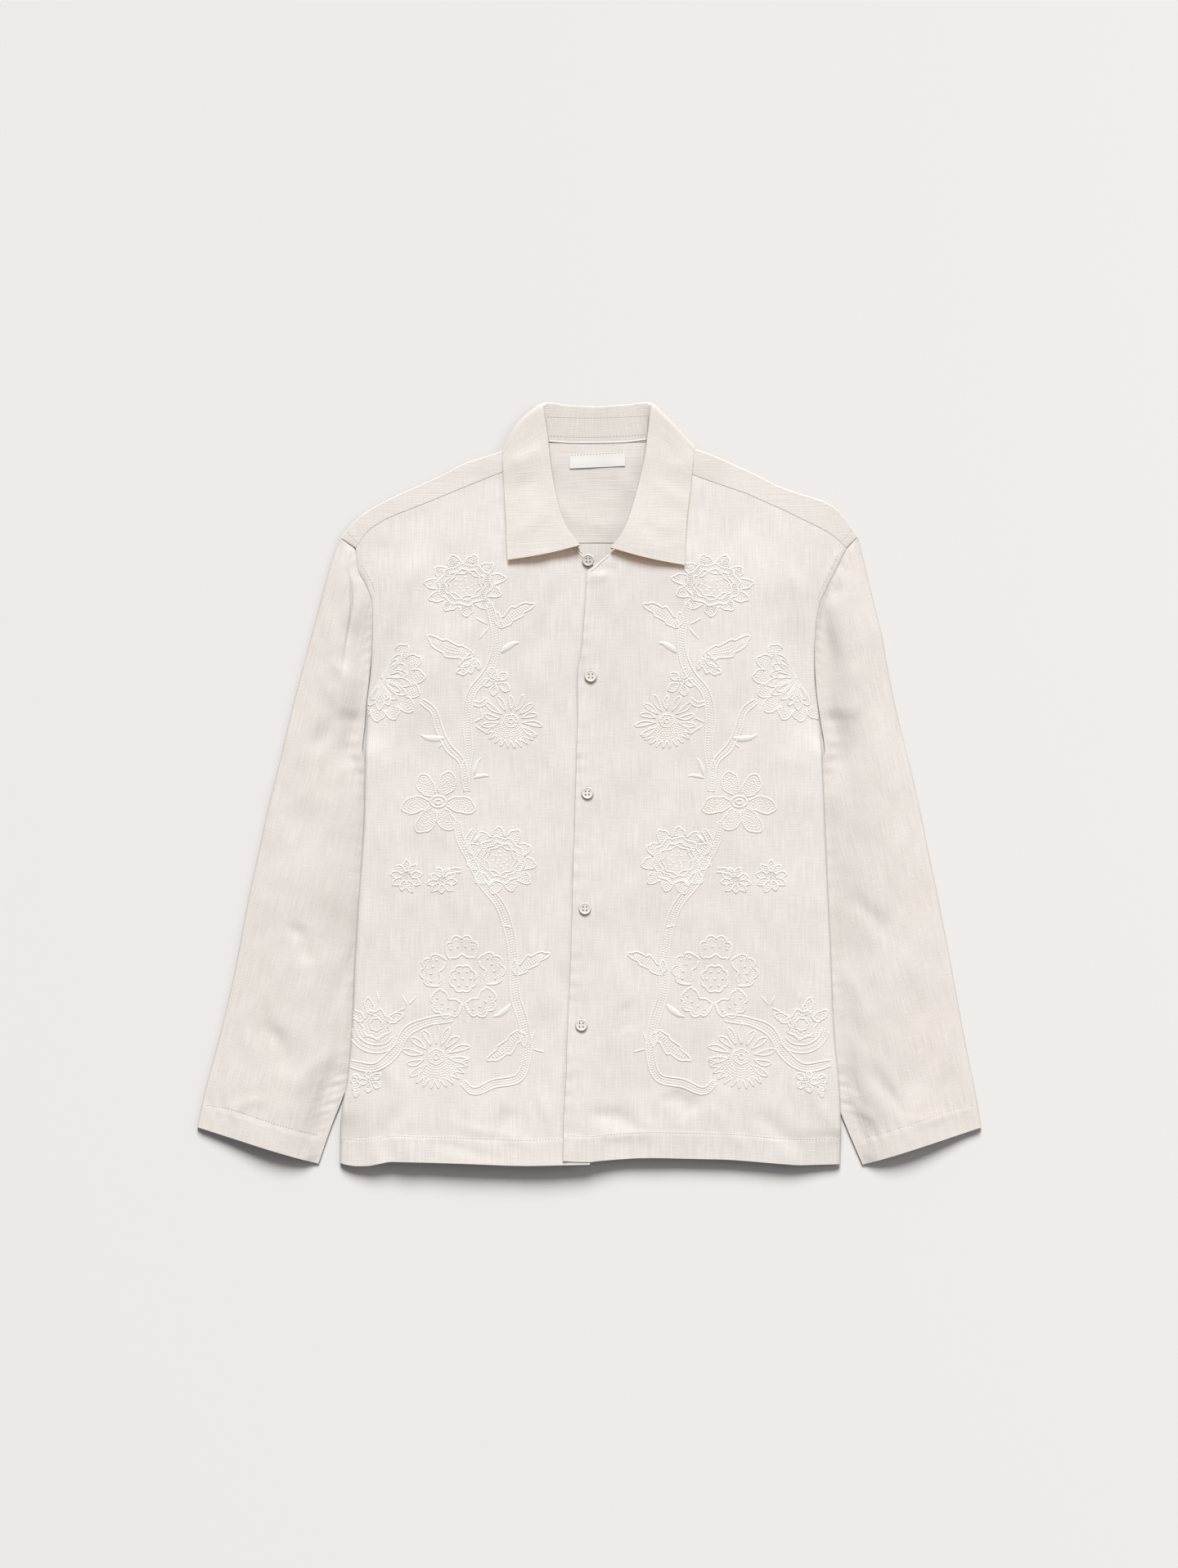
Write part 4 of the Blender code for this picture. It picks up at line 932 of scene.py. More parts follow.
# Height of the valley beside the seam, how fast the cloth leaves its edge, and the share of the
# sleeve's width that is held down: at the head, and at most below it.
HEAD_VALLEY = 3.3
VALLEY_RUN = 2.0
HEAD_TUCKED = 0.05
MOST_TUCKED = 0.14
# Radius and width of the inner fold, the top's least height, and how peaked its puff is.
INNER_R = 1.3
INNER_WIDE = 0.4
LEAST_HEIGHT = 2.3
PUFF_POWER = 1.3
# Shares of the sleeve's width at which its top has points, from the inner side out.
SLEEVE_TOP = (
    0.0, 0.004, 0.015, 0.04, 0.09, 0.14, 0.22, 0.32, 0.39, 0.41, 0.42, 0.43, 0.46, 0.54, 0.64, 0.76,
    0.88, 1.0,
)
# A sharp fold runs down the right sleeve's head, at one share of its width: y and depth.
HEAD_FOLD_AT = 0.42
HEAD_FOLD_WIDE = 1.4
HEAD_FOLD = (
    (80.0, 0.0), (105.0, 0.3), (130.0, 0.8), (158.0, 1.9), (179.0, 2.3), (199.0, 1.3), (212.0, 0.0),
)
SLEEVE_UNDER = (0.85, 0.55, 0.25, 0.08, 0.02, 0.0)
OUTER_ARC = (36.0, 72.0, 108.0, 144.0, 180.0)
INNER_ARC = (45.0, 90.0, 135.0)
# Toward the cuffs the puff's highest place moves over to the inner side, and the tuck comes free.
CUFF_LEAN = 0.66
CUFF_FROM_Y = 200.0
CUFF_RUN = 120.0
CUFF_FREE = 0.8
CUFF_FREE_Y = 325.0
CUFF_FREE_RUN = 40.0
# Columns of a section over which creases fade in and out on its top, and under it.
TOP_FADE_IN = (2.5, 2.0)
TOP_FADE_OUT = (0.5, 1.5)
UNDER_FROM = 5.5
UNDER_TO = 4.0
UNDER_SHARE = 0.6
HEAD_FADE = 3.0
ARMHOLE_FADE_ROWS = (1.0, 2.0)
SEAM_COLUMNS = 1.5
# size and height of waves; reach, height and pitch of puckers
SLEEVE_WAVES = (36.0, 1.1)
SLEEVE_RIPPLES = (14.0, 0.4)
CUFF_PUCKERS = (7.0, 0.6, 12.0)
UNDERARM_PUCKERS = (7.0, 0.3, 14.0)
NEAR_CUFF_PUCKERS = (7.0, 0.6, 9.0)
ARMHOLE_PUCKERS = (3.5, 0.3, 11.0)
# Puckers are strongest this far from the inner edge, and run a little aslant.
UNDERARM_AT = 9.0
ARMHOLE_AT = 3.0
CUFF_SLANT = 0.4
NEAR_CUFF_SLANT = 0.5
ARMHOLE_SLANT = 0.6
PUCKERED_FROM_CUFF = 120.0
PUCKERED_RUN = 40.0
RIGHT_SLEEVE_CREASES = (
    (-236.0, 190.0, -240.0, 140.0, 10.0, -0.8),
    (-238.0, 150.0, -250.0, 80.0, 10.0, -1.2),
    (-252.0, 84.0, -264.0, 34.0, 9.0, -1.9),
    (-264.0, 40.0, -270.0, -70.0, 11.0, -1.3),
    (-246.0, 120.0, -232.0, 84.0, 6.0, 1.0),
    (-289.0, -140.0, -272.0, -170.0, 7.0, -1.6),
    (-309.0, -236.0, -296.0, -277.0, 8.0, -1.5),
    (-330.0, -210.0, -340.0, -262.0, 9.0, 0.9),
    (-256.0, -262.0, -286.0, -296.0, 7.0, 0.7),
    (-318.0, -308.0, -350.0, -318.0, 6.0, 0.7),
    (-300.0, 20.0, -316.0, -60.0, 9.0, 0.7),
    (-240.0, -40.0, -250.0, -130.0, 11.0, 0.8),
    (-226.0, -140.0, -244.0, -210.0, 7.0, -0.9),
)
LEFT_SLEEVE_CREASES = (
    (240.0, 196.0, 231.0, 160.0, 7.0, -1.4),
    (231.0, 162.0, 236.0, 104.0, 8.0, -1.9),
    (236.0, 108.0, 243.0, 40.0, 8.0, -1.1),
    (250.0, 30.0, 256.0, -40.0, 10.0, -0.7),
    (268.0, 120.0, 258.0, 70.0, 8.0, 0.9),
    (286.0, 60.0, 296.0, -20.0, 10.0, 0.8),
    (262.0, -110.0, 290.0, -150.0, 8.0, -1.2),
    (250.0, -180.0, 274.0, -240.0, 8.0, 1.0),
    (318.0, -190.0, 330.0, -260.0, 9.0, -1.0),
    (280.0, -276.0, 300.0, -318.0, 7.0, -1.3),
    (352.0, -230.0, 346.0, -290.0, 7.0, 0.8),
    (254.0, -300.0, 276.0, -330.0, 5.0, 1.0),
    (310.0, -330.0, 352.0, -322.0, 6.0, 0.7),
)


def sleeve_grid(rows):
    """Sections round a sleeve from its tip to its cuff: over the top, round and back under it."""
    right = rows[0][0] < 0.0
    sections = []
    for number, (ox, oy, ix, iy, puff) in enumerate(rows):
        head = number < HEAD_SECTIONS
        sewn = armhole(iy)
        if ix == 0.0:
            away = ARMHOLE_GAP * (1.0 - sewn) - TUCKED_UNDER * sewn
            ix = side_x(iy, right) + (-away if right else away)
        outer, inner = np.array([ox, oy]), np.array([ix, iy])
        width = np.linalg.norm(outer - inner)
        across = (outer - inner) / width
        r = min(FOLD_R, 0.5 * width)
        start = 0.0 if head else INNER_WIDE
        edge_top, valley, tucked = 2.0 * INNER_R, 2.0 * INNER_R, min(TUCK / width, MOST_TUCKED)
        if head:
            low = table_at(SIDE_HEIGHTS, iy, 3)
            step = SEAM_STEP + TIP_STEP * soft_step((iy - TIP_FROM_Y) / TIP_RUN)
            edge_top = low - step + FOLD_R * SEAM_STAND * sewn
            sink = ARMHOLE_SINK * (1.0 - soft_step((iy - ARMHOLE_SINK_Y) / ARMHOLE_SINK_RUN))
            valley = HEAD_VALLEY + (edge_top - sink - HEAD_VALLEY) * sewn
            tucked = HEAD_TUCKED
        tucked *= 1.0 - CUFF_FREE * soft_step((-CUFF_FREE_Y - iy) / CUFF_FREE_RUN)
        span = width - start - r
        lean = 1.0 - (1.0 - CUFF_LEAN) * soft_step((-CUFF_FROM_Y - iy) / CUFF_RUN)
        section = []

        def place(g, z):
            p = inner + across * (start + span * g)
            section.append((p[0], p[1], z))

        for g in SLEEVE_TOP:
            free = min(max((g - tucked) / (1.0 - tucked), 0.0), 1.0)
            z = valley + (edge_top - valley) * math.exp(-g * span / VALLEY_RUN)
            z += (2.0 * FOLD_R - valley) * free + puff * math.sin(math.pi * free ** lean) ** PUFF_POWER
            if right:
                off = (g - HEAD_FOLD_AT) * span / HEAD_FOLD_WIDE
                z -= table_at(HEAD_FOLD, iy, 1) * math.exp(-off ** 2)
            place(g, max(z, LEAST_HEIGHT))
        for angle in OUTER_ARC:
            a = math.radians(angle)
            p = outer - across * r * (1.0 - math.sin(a))
            section.append((p[0], p[1], FOLD_R * (1.0 + math.cos(a))))
        for g in SLEEVE_UNDER:
            place(g, 0.0)
        for angle in INNER_ARC:
            a = math.radians(angle)
            p = inner + across * INNER_WIDE * (1.0 - math.sin(a))
            section.append((p[0], p[1], INNER_R * (1.0 - math.cos(a))))
        sections.append(section + section[:1])
    return np.array(sections)


def dress_sleeve(points, row_place, column_place, creases, seeds):
    """Adds a sleeve's creases and the puckers of its seams to its points."""
    top = len(SLEEVE_TOP) - 1
    upper = soft_step((column_place - TOP_FADE_IN[0]) / TOP_FADE_IN[1])
    upper = upper * soft_step((top + TOP_FADE_OUT[0] - column_place) / TOP_FADE_OUT[1])
    under = soft_step(column_place - top - UNDER_FROM)
    under = under * soft_step(column_place[-1] - UNDER_TO - column_place)
    head = soft_step(row_place / HEAD_FADE)[:, None]
    added = creased(points, creases) + unevenness(points, *SLEEVE_WAVES, seeds[0])
    added += unevenness(points, *SLEEVE_RIPPLES, seeds[1])
    x, y = points[..., 0], points[..., 1]
    to_cuff = np.linalg.norm(points[-1:, :, :2] - points[:, :, :2], axis=2)
    added += seam_puckers(to_cuff - CUFF_DEEP, x + CUFF_SLANT * y, *CUFF_PUCKERS)
    added += hem_step(CUFF_DEEP - to_cuff)
    fade_from, fade_run = ARMHOLE_FADE_ROWS
    armhole_rows = soft_step((HEAD_SECTIONS - fade_from - row_place) / fade_run)[:, None]
    from_inner = np.linalg.norm(points[..., :2] - points[:, :1, :2], axis=2)
    near_cuff = soft_step((PUCKERED_FROM_CUFF - to_cuff) / PUCKERED_RUN)
    from_seam = from_inner - UNDERARM_AT
    underarm = seam_puckers(from_seam, y, *UNDERARM_PUCKERS)
    aslant = y + NEAR_CUFF_SLANT * from_inner
    underarm += near_cuff * seam_puckers(from_seam, aslant, *NEAR_CUFF_PUCKERS)
    beside_armhole = armhole_rows * seam_puckers(
        from_inner - ARMHOLE_AT, y + ARMHOLE_SLANT * from_inner, *ARMHOLE_PUCKERS)
    seam_only = soft_step(column_place / SEAM_COLUMNS) * (column_place < top)
    points[..., 2] += (underarm * (1.0 - armhole_rows) + beside_armhole) * seam_only[None, :] * head
    points[..., 2] += added * upper[None, :] * head
    points[..., 2] += np.abs(UNDER_SHARE * added) * under[None, :] * head
    return points


SLEEVE_SLANT = 14.5
right_sleeve_linen = linen("washed linen, right sleeve", "F1EAE5", "DCD3CB", turn=SLEEVE_SLANT)
left_sleeve_linen = linen("washed linen, left sleeve", "F1EAE5", "DCD3CB", turn=-SLEEVE_SLANT)
sleeves = []
for name, rows, creases, material, seeds in (
    ("right_sleeve", RIGHT_SLEEVE, RIGHT_SLEEVE_CREASES, right_sleeve_linen, (31.0, 34.0)),
    ("left_sleeve", LEFT_SLEEVE, LEFT_SLEEVE_CREASES, left_sleeve_linen, (37.0, 40.0)),
):
    points, row_place, column_place = finer(sleeve_grid(rows), SLEEVE_STEP)
    points = dress_sleeve(points, row_place, column_place, creases, seeds)
    # The head's inner side is open along the armhole. Below it the last column meets the first.
    row_count, column_count = points.shape[:2]
    open_from = len(SLEEVE_TOP) + len(OUTER_ARC) + len(SLEEVE_UNDER) - 1
    row_mid, column_mid = middles(row_place)[:, None], middles(column_place)[None, :]
    kept_cells = (row_mid > HEAD_SECTIONS) | (column_mid < open_from)
    quads = grid_quads(row_count, column_count, kept_cells)
    quads = np.where(quads % column_count == column_count - 1, quads - column_count + 1, quads)
    quads = quads if rows is RIGHT_SLEEVE else quads[:, ::-1]
    sleeve = cloth_piece(name + "_cloth", points, quads, material)
    sleeves.append(sleeve)
    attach(sleeve, "root")
    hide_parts(name)

# The collar is stand and fall in one, of two layers of linen. It rolls over at the neck, and its
# leaves lie on the fronts with their lower edges a little off the cloth.
WALL = 1.2
ROLL_R = 1.5
ROLL_MORE = 0.8
ROLL_WIDE = 0.6
COLLAR_STEP = 2.2
# neck x, y, roll x, y, edge x, y, stack angle, roll height, edge height, bow of the fall
# Down to the row for the shoulder, the roll height is what the roll has above a round one on the
# cloth below, and the edge height is the edge's lift above that cloth.
COLLAR_RIGHT = (
    (-10.4, 231.4, -9.0, 233.4, -79.2, 219.1, 0, 2.9, 4.6, -1.5),
    (-16.8, 237.6, -13.6, 240.2, -80.2, 235.6, 0, 2.7, 4.0, 0.0),
    (-26.4, 250.6, -21.5, 251.6, -80.6, 251.6, 0, 2.3, 3.4, 0.0),
    (-37.6, 272.2, -29.4, 272.8, -81.7, 272.4, 0, 1.7, 2.8, 0.0),
    (-46.3, 294.4, -34.6, 295.6, -83.0, 294.0, 0, 1.0, 2.2, 0.5),
    (-51.0, 315.6, -38.2, 320.8, -83.6, 309.0, 5, 0.3, 1.9, 1.0),
    (-54.5, 327.0, -40.4, 344.0, -83.8, 318.0, 12, 0.0, 1.5, 2.5),
    (-56.4, 334.9, -42.6, 361.8, -83.6, 323.2, 40, 7.2, 9.3, 4.0),
    (-56.3, 338.2, -44.4, 370.6, -84.0, 328.4, 90, 5.6, 4.9, 5.0),
    (-56.0, 335.9, -41.0, 373.4, -80.0, 325.0, 140, 4.3, 0.8, 3.0),
    (-47.8, 335.4, -34.0, 373.2, -64.0, 324.0, 170, 3.95, 0.65, 1.0),
    (-35.8, 335.0, -25.4, 371.8, -43.8, 325.4, 180, 3.6, 0.6, 0.0),
    (-15.8, 334.7, -11.8, 370.6, -18.2, 326.2, 180, 3.6, 0.6, 0.0),
    (9.0, 334.5, 8.2, 369.8, 8.2, 326.4, 180, 3.6, 0.6, 0.0),
)
COLLAR_LEFT = (
    (22.8, 229.2, 21.2, 231.2, 93.8, 214.0, 0, 2.7, 3.6, -1.5),
    (30.6, 235.0, 27.2, 238.2, 94.2, 233.2, 0, 2.5, 3.4, 0.0),
    (40.4, 250.6, 35.4, 251.8, 95.2, 252.4, 0, 2.2, 3.0, 0.0),
    (51.6, 272.2, 42.6, 272.8, 97.4, 274.0, 0, 1.6, 2.6, 0.0),
    (59.5, 294.4, 49.0, 295.4, 100.2, 295.6, 0, 1.0, 2.2, 0.5),
    (65.0, 315.8, 54.6, 320.6, 101.4, 310.0, 5, 0.3, 1.9, 0.5),
    (68.6, 327.4, 57.4, 344.4, 102.2, 319.6, 12, 0.0, 1.5, 0.5),
    (70.4, 335.7, 58.6, 362.4, 102.4, 325.6, 40, 7.2, 9.3, 0.5),
    (70.3, 339.0, 60.2, 371.0, 103.0, 331.0, 90, 5.6, 4.9, 0.5),
    (70.0, 336.7, 56.6, 373.6, 98.6, 327.6, 140, 4.3, 0.8, 0.5),
    (61.8, 336.3, 49.6, 373.4, 82.6, 326.2, 170, 3.95, 0.65, 0.3),
    (49.8, 335.4, 41.0, 372.2, 61.0, 326.2, 180, 3.6, 0.6, 0.0),
    (30.6, 334.8, 25.8, 371.2, 33.8, 326.2, 180, 3.6, 0.6, 0.0),
)
# The stand's end sinks into the front by this share of the wall.
END_SINK = 0.3
# The row that stands upright beside the neck, and the turns between it and its neighbours.
SIDE_SECTION = 8
SIDE_TURNS = (30.0, 60.0)
# Below 1 the side is squarer than an ellipse.
SIDE_SQUARE = 0.5
STAND_SHARES = (0.0, 0.35, 0.7, 0.985, 1.0)
ROLL_ARC = (-54.0, -18.0, 18.0, 54.0)
FALL_SHARES = (0.0, 0.012, 0.12, 0.3, 0.5, 0.7, 0.86, 1.0)
# Stack angles up to which a section lies on the front, stands at the side, and lies at the back.
FRONT_ANGLE = 30.0
SIDE_ANGLE = 40.0
BACK_ANGLE = 150.0
HALF_TURN = 180.0
# The fall at the back comes down this many times sooner than its width ends.
BACK_DROP = 3.0
# Columns and rows over which creases fade toward the roll and toward the side.
LEAF_ROOM = 2.0
FLAT_ENDS = 1.5
COLLAR_WAVES = (22.0, 0.5, 51.0)
COLLAR_CREASES = (
    (-40.0, 262.0, -72.0, 246.0, 8.0, 0.6),
    (-60.0, 300.0, -74.0, 262.0, 7.0, -0.6),
    (-50.0, 330.0, -70.0, 310.0, 8.0, 0.7),
    (52.0, 250.0, 84.0, 240.0, 7.0, -0.5),
    (66.0, 300.0, 92.0, 270.0, 8.0, 0.6),
    (70.0, 345.0, 90.0, 318.0, 7.0, -0.6),
)


def collar_section(row, outward_sign):
    """Points across the collar: up its stand, round its roll and down its fall."""
    nx, ny, rx, ry, ex, ey, angle, roll_z, edge_z, bow = row
    neck, roll, edge = np.array([nx, ny]), np.array([rx, ry]), np.array([ex, ey])
    reach = np.linalg.norm(roll - neck)
    toward = (roll - neck) / reach
    side = np.array([-toward[1], toward[0]]) * outward_sign
    a = math.radians(angle)
    stack = np.array([side[0] * math.sin(a), side[1] * math.sin(a), math.cos(a)])
    stack /= np.linalg.norm(stack)
    roll_half = ROLL_R + ROLL_MORE * math.sin(a)
    end = roll - toward * min(ROLL_WIDE, 0.5 * reach)
    in_front = angle < FRONT_ANGLE
    if in_front:
        roll_half += roll_z
        neck_z = top_z(nx, ny) - 0.5 * WALL
        end_z = top_z(*end) - END_SINK * WALL
    else:
        fold_half = 0.5 * (table_at(SIDE_HEIGHTS, SHOULDER_Y, 3) + FOLD_R)
        round_fold = min(max((angle - SIDE_ANGLE) / (HALF_TURN - 2.0 * SIDE_ANGLE), 0.0), 1.0)
        neck_z = COLLAR_LIFT + fold_half + (fold_half - 0.5 * WALL) * math.cos(math.pi * round_fold)
        end_z = roll_z
    n3, a3 = np.array([*neck, neck_z]), np.array([*end, end_z])
    e3 = np.array([*toward, 0.0])
    section = [n3 + (a3 - n3) * t for t in STAND_SHARES]
    for degrees in ROLL_ARC:
        d = math.radians(degrees)
        section.append(a3 + stack * roll_half * (1.0 + math.sin(d)) + e3 * ROLL_WIDE * math.cos(d))
    b3 = a3 + stack * 2.0 * roll_half
    start = b3[2] - top_z(*end)
    line = edge - b3[:2]
    across = np.array([-line[1], line[0]]) / np.linalg.norm(line)
    if across @ side < 0.0:
        across = -across
    for t in FALL_SHARES:
        p = b3[:2] + line * t + across * bow * math.sin(math.pi * t)
        if in_front:
            z = top_z(*p) + start + (edge_z - start) * t
        else:
            z = b3[2] + (edge_z - b3[2]) * (t if angle < BACK_ANGLE else soft_step(BACK_DROP * t))
        section.append(np.array([p[0], p[1], z]))
    return section


def quarter_turn(flat, upright, degrees):
    """A section between a flat one and the upright one at the side, on a squared quarter turn."""
    a = math.radians(degrees)
    made = []
    for p, q in zip(flat, upright):
        xy = p[:2] + (q[:2] - p[:2]) * math.sin(a) ** SIDE_SQUARE
        made.append(np.array([xy[0], xy[1], q[2] + (p[2] - q[2]) * math.cos(a) ** SIDE_SQUARE]))
    return made


def collar_sections():
    """Every section, from the wearer's right end to the left one."""
    rows = []
    for table, sign in ((COLLAR_RIGHT, 1.0), (COLLAR_LEFT, -1.0)):
        part = [collar_section(r, sign) for r in table]
        above, side, below = SIDE_SECTION - 1, SIDE_SECTION, SIDE_SECTION + 1
        rounded = part[:side]
        rounded += [quarter_turn(part[above], part[side], degrees) for degrees in SIDE_TURNS]
        rounded.append(part[side])
        rounded += [quarter_turn(part[below], part[side], degrees) for degrees in reversed(SIDE_TURNS)]
        rows.append(rounded + part[below:])
    return np.array(rows[0] + rows[1][::-1])


points, row_place, column_place = finer(collar_sections(), COLLAR_STEP)
fall_from = len(STAND_SHARES) + len(ROLL_ARC)
on_leaf = soft_step((column_place - fall_from) / LEAF_ROOM)[None, :]
flat_rows = soft_step((SIDE_SECTION - FLAT_ENDS - from_ends(row_place)) / FLAT_ENDS)[:, None]
lift = creased(points, COLLAR_CREASES) + unevenness(points, *COLLAR_WAVES)
points[..., 2] += lift * on_leaf * flat_rows
along_strip = np.cumsum(np.linalg.norm(np.diff(points.mean(axis=1), axis=0), axis=1))
across_strip = np.cumsum(np.linalg.norm(np.diff(points, axis=1), axis=2).mean(axis=0))
strip = np.meshgrid(np.append(0.0, along_strip), np.append(0.0, across_strip), indexing="ij")
collar_linen = linen("washed linen, collar", "EFE9E3", "DCD4CC", let_through=0.43)
collar = cloth_piece("collar_cloth", points, grid_quads(*points.shape[:2]), collar_linen, centred=True,
                     cloth_uv=np.stack(strip, axis=2).reshape(-1, 2))
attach(collar, "root")
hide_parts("collar")

# The label is a small woven tab, bare, sewn inside the yoke under the back neck. It is a smooth
# damask of fine white yarn, so it is paler than the linen and has a slight sheen.
LABEL_X = (-18.8, 35.4)
LABEL_Y = (310.6, 324.4)
LABEL_TILT = 2.6
LABEL_THICK = 0.6
LABEL_AIR = 0.1
LABEL_STEPS = (24, 8)
# Its lower edge hangs a little off the yoke, in a slight wave.
LABEL_HANG = 0.25
LABEL_WAVE = 0.2
LABEL_WAVES = 7.0
RIB_PITCH = 0.9
# Rays for laying a piece on another start here, above everything.
ABOVE_ALL = 60.0


def woven_tape(name, colour, shade):
    """Damask tape: ribs of fine yarn across it, drawn 0.9 mm apart so that they show, with painted
    shade between them.
    """
    material, tree, shader = new_material(name, {"Roughness": 0.6})
    place = add_node(tree, "ShaderNodeUVMap", {"uv_map": "cloth"})
    ribs = add_node(tree, "ShaderNodeTexWave",
                    {"bands_direction": "Y", "Distortion": 0.4,
                     "Scale": WAVE_METRES / (RIB_PITCH * METRES)},
                    {"Vector": place.outputs["UV"]})
    mixed = add_node(tree, "ShaderNodeMix", {"data_type": "RGBA", 6: linear(shade), 7: linear(colour)},
                     {"Factor": ribs.outputs["Fac"]})
    tree.links.new(mixed.outputs[2], shader.inputs["Base Color"])
    bump = add_node(tree, "ShaderNodeBump", {"Strength": 0.3, "Distance": 0.1 * METRES},
                    {"Height": ribs.outputs["Fac"]})
    tree.links.new(bump.outputs["Normal"], shader.inputs["Normal"])
    return material


def surface_of(*pieces):
    """The faces of cloth pieces in millimetres, to lay other pieces on."""
    corners, faces = [], []
    for piece in pieces:
        start = len(corners)
        corners += [tuple(v.co / METRES) for v in piece.data.vertices]
        faces += [tuple(start + i for i in f.vertices) for f in piece.data.polygons]
    return BVHTree.FromPolygons(corners, faces)


def height_on(surface, x, y):
    """Height of a surface seen from above, or None beside it."""
    spot = surface.ray_cast(Vector((x, y, ABOVE_ALL)), Vector((0.0, 0.0, -1.0)))[0]
    return None if spot is None else spot.z


label_u, label_v = np.meshgrid(*[np.linspace(0.0, 1.0, steps + 1) for steps in LABEL_STEPS])
points = np.zeros(label_u.shape + (3,))
points[..., 0] = LABEL_X[0] + (LABEL_X[1] - LABEL_X[0]) * label_u
points[..., 1] = LABEL_Y[0] + (LABEL_Y[1] - LABEL_Y[0]) * label_v + LABEL_TILT * (label_u - 0.5)
yoke_surface = surface_of(yoke)
for place in np.ndindex(label_u.shape):
    points[place][2] = height_on(yoke_surface, *points[place][:2]) + LABEL_THICK + LABEL_AIR
points[..., 2] += (LABEL_HANG + LABEL_WAVE * np.sin(label_u * LABEL_WAVES)) * (1.0 - label_v)
white_tape = woven_tape("white woven tape", "F5F1ED", "ECE8E3")
label = cloth_piece("label_cloth", points, grid_quads(*points.shape[:2]), white_tape, LABEL_THICK)
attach(label, "root")
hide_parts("label")

# The embroidery is a flowering branch on each front, worked by machine in ivory cotton: corded
# outlines drawn about 2 mm wide, rows of short chain stitches inside them, and satin buds. It is
# a common crewel ornament, drawn here by formula, and the two fronts mirror each other.
CORD_R = 1.0
THIN_R = 0.84
ROW_R = 0.86
KNOT_R = 1.25
CORD_STEP = 1.4
CHAIN_LENGTH = 1.9
CHAIN_GAP = 0.6
THREAD_PITCH = 1.7
ROW_APART = 2.1
# A stroke of this many points is one short stitch, pulled flatter than a cord.
STITCH_POINTS = 4
STITCH_FLAT = 0.6
CHAIN_SHARES = (-0.5, -0.3, 0.3, 0.5)
# A knot's points and its thickness at each, as shares of its radius.
KNOT_SHARES = (-1.0, -0.6, 0.0, 0.6, 1.0)
KNOT_ROUND = (0.4, 0.8, 1.0, 0.8, 0.4)
BUD_TIP = 0.12
# Rows of chain stitch in a full petal, as shares of the way in from its outline.
FULL_ROWS = (0.3, 0.55, 0.8)
TOOTH_LEAN = 0.3
# Half a thread's height is this share of its half width. A wide thread is flatter: it has a fixed
# height and a tenth of its half width.
THREAD_ROUND = 0.48
THREAD_TALL = 0.34
THREAD_TALLER = 0.10
# Its middle lies above the cloth by this share of its height, and its ends by 0.1 mm.
THREAD_RAISED = 0.35
END_RAISED = 0.1
THREAD_SIDES = 6
# How far the ribs of its twist slant from side to side, and the angle from which an edge is sharp.
TWIST = 0.3
THREAD_EDGE = 70.0


def turned(points, degrees, x=0.0, y=0.0, squash=1.0):
    """Points squashed across, turned and moved into place."""
    a = math.radians(degrees)
    p = np.asarray(points, float) * (1.0, squash)
    return np.stack([p[:, 0] * math.cos(a) - p[:, 1] * math.sin(a) + x,
                     p[:, 0] * math.sin(a) + p[:, 1] * math.cos(a) + y], axis=1)


def resampled(points, step):
    """The same line with its points a step apart."""
    points = np.asarray(points, float)
    run = run_along(points)
    count = max(3, int(round(run[-1] / step)) + 1)
    at = np.linspace(0.0, run[-1], count)
    return np.stack([np.interp(at, run, points[:, k]) for k in range(points.shape[1])], axis=1)


def cord(points, r=CORD_R):
    """One thread with its half width r at each of its points."""
    line = resampled(points, CORD_STEP)
    return [(line, np.full(len(line), r))]


def chain_row(points):
    """A row of short stitches with gaps between them."""
    line = resampled(points, 0.5 * (CHAIN_LENGTH + CHAIN_GAP))
    strokes = []
    for k in range(0, len(line) - 1, 2):
        a, b = line[k], line[k + 1]
        along_it = (b - a) / (np.linalg.norm(b - a) + TINY)
        mid = 0.5 * (a + b)
        ends = [mid + along_it * share * CHAIN_LENGTH for share in CHAIN_SHARES]
        strokes.append((np.array(ends), np.full(STITCH_POINTS, ROW_R)))
    return strokes


def satin(points, wide):
    """A bud of close stitches, full in the middle and pointed at both ends."""
    line = resampled(points, CORD_STEP)
    t = np.linspace(0.0, 1.0, len(line))
    return [(line, BUD_TIP + 0.5 * wide * np.sin(math.pi * t ** 0.8))]


def knot(x, y, r=KNOT_R):
    return [(np.array([(x + share * r, y) for share in KNOT_SHARES]), np.array(KNOT_ROUND) * r)]


def petal(length, wide, fullest=0.5, teeth=0, depth=0.0, bend=0.0, point=0.85):
    """A petal's outline from its base at the origin, out to its tip and back. Its edges have
    teeth that lean toward the tip."""
    t = np.linspace(0.0, 1.0, 10 * max(teeth, 2) + 1)
    rise_power = point * fullest / (1.0 - fullest)
    half = t ** rise_power * (1.0 - t) ** point
    half *= 0.5 * wide / half.max()
    ragged = depth * ((t * teeth + 0.3) % 1.0 - 0.4) * np.sin(math.pi * t) ** 0.5
    middle = bend * np.sin(math.pi * t)
    upper = np.stack([t * length, middle + half + ragged], axis=1)
    lower = np.stack([t * length, middle - half - 0.8 * np.roll(ragged, 3)], axis=1)
    return np.concatenate([upper, lower[::-1]])


def scalloped(radius, lobes, depth, phase=0.0):
    """A closed ring of round lobes."""
    a = np.linspace(0.0, 2.0 * math.pi, 10 * lobes + 1)
    r = radius * (1.0 - depth + depth * np.abs(np.sin(0.5 * lobes * a + phase)) ** 0.7)
    return np.stack([r * np.cos(a), r * np.sin(a)], axis=1)


def inset(outline, share):
    """A smaller copy of an outline inside it."""
    heart = outline.mean(axis=0)
    return heart + (outline - heart) * (1.0 - share)


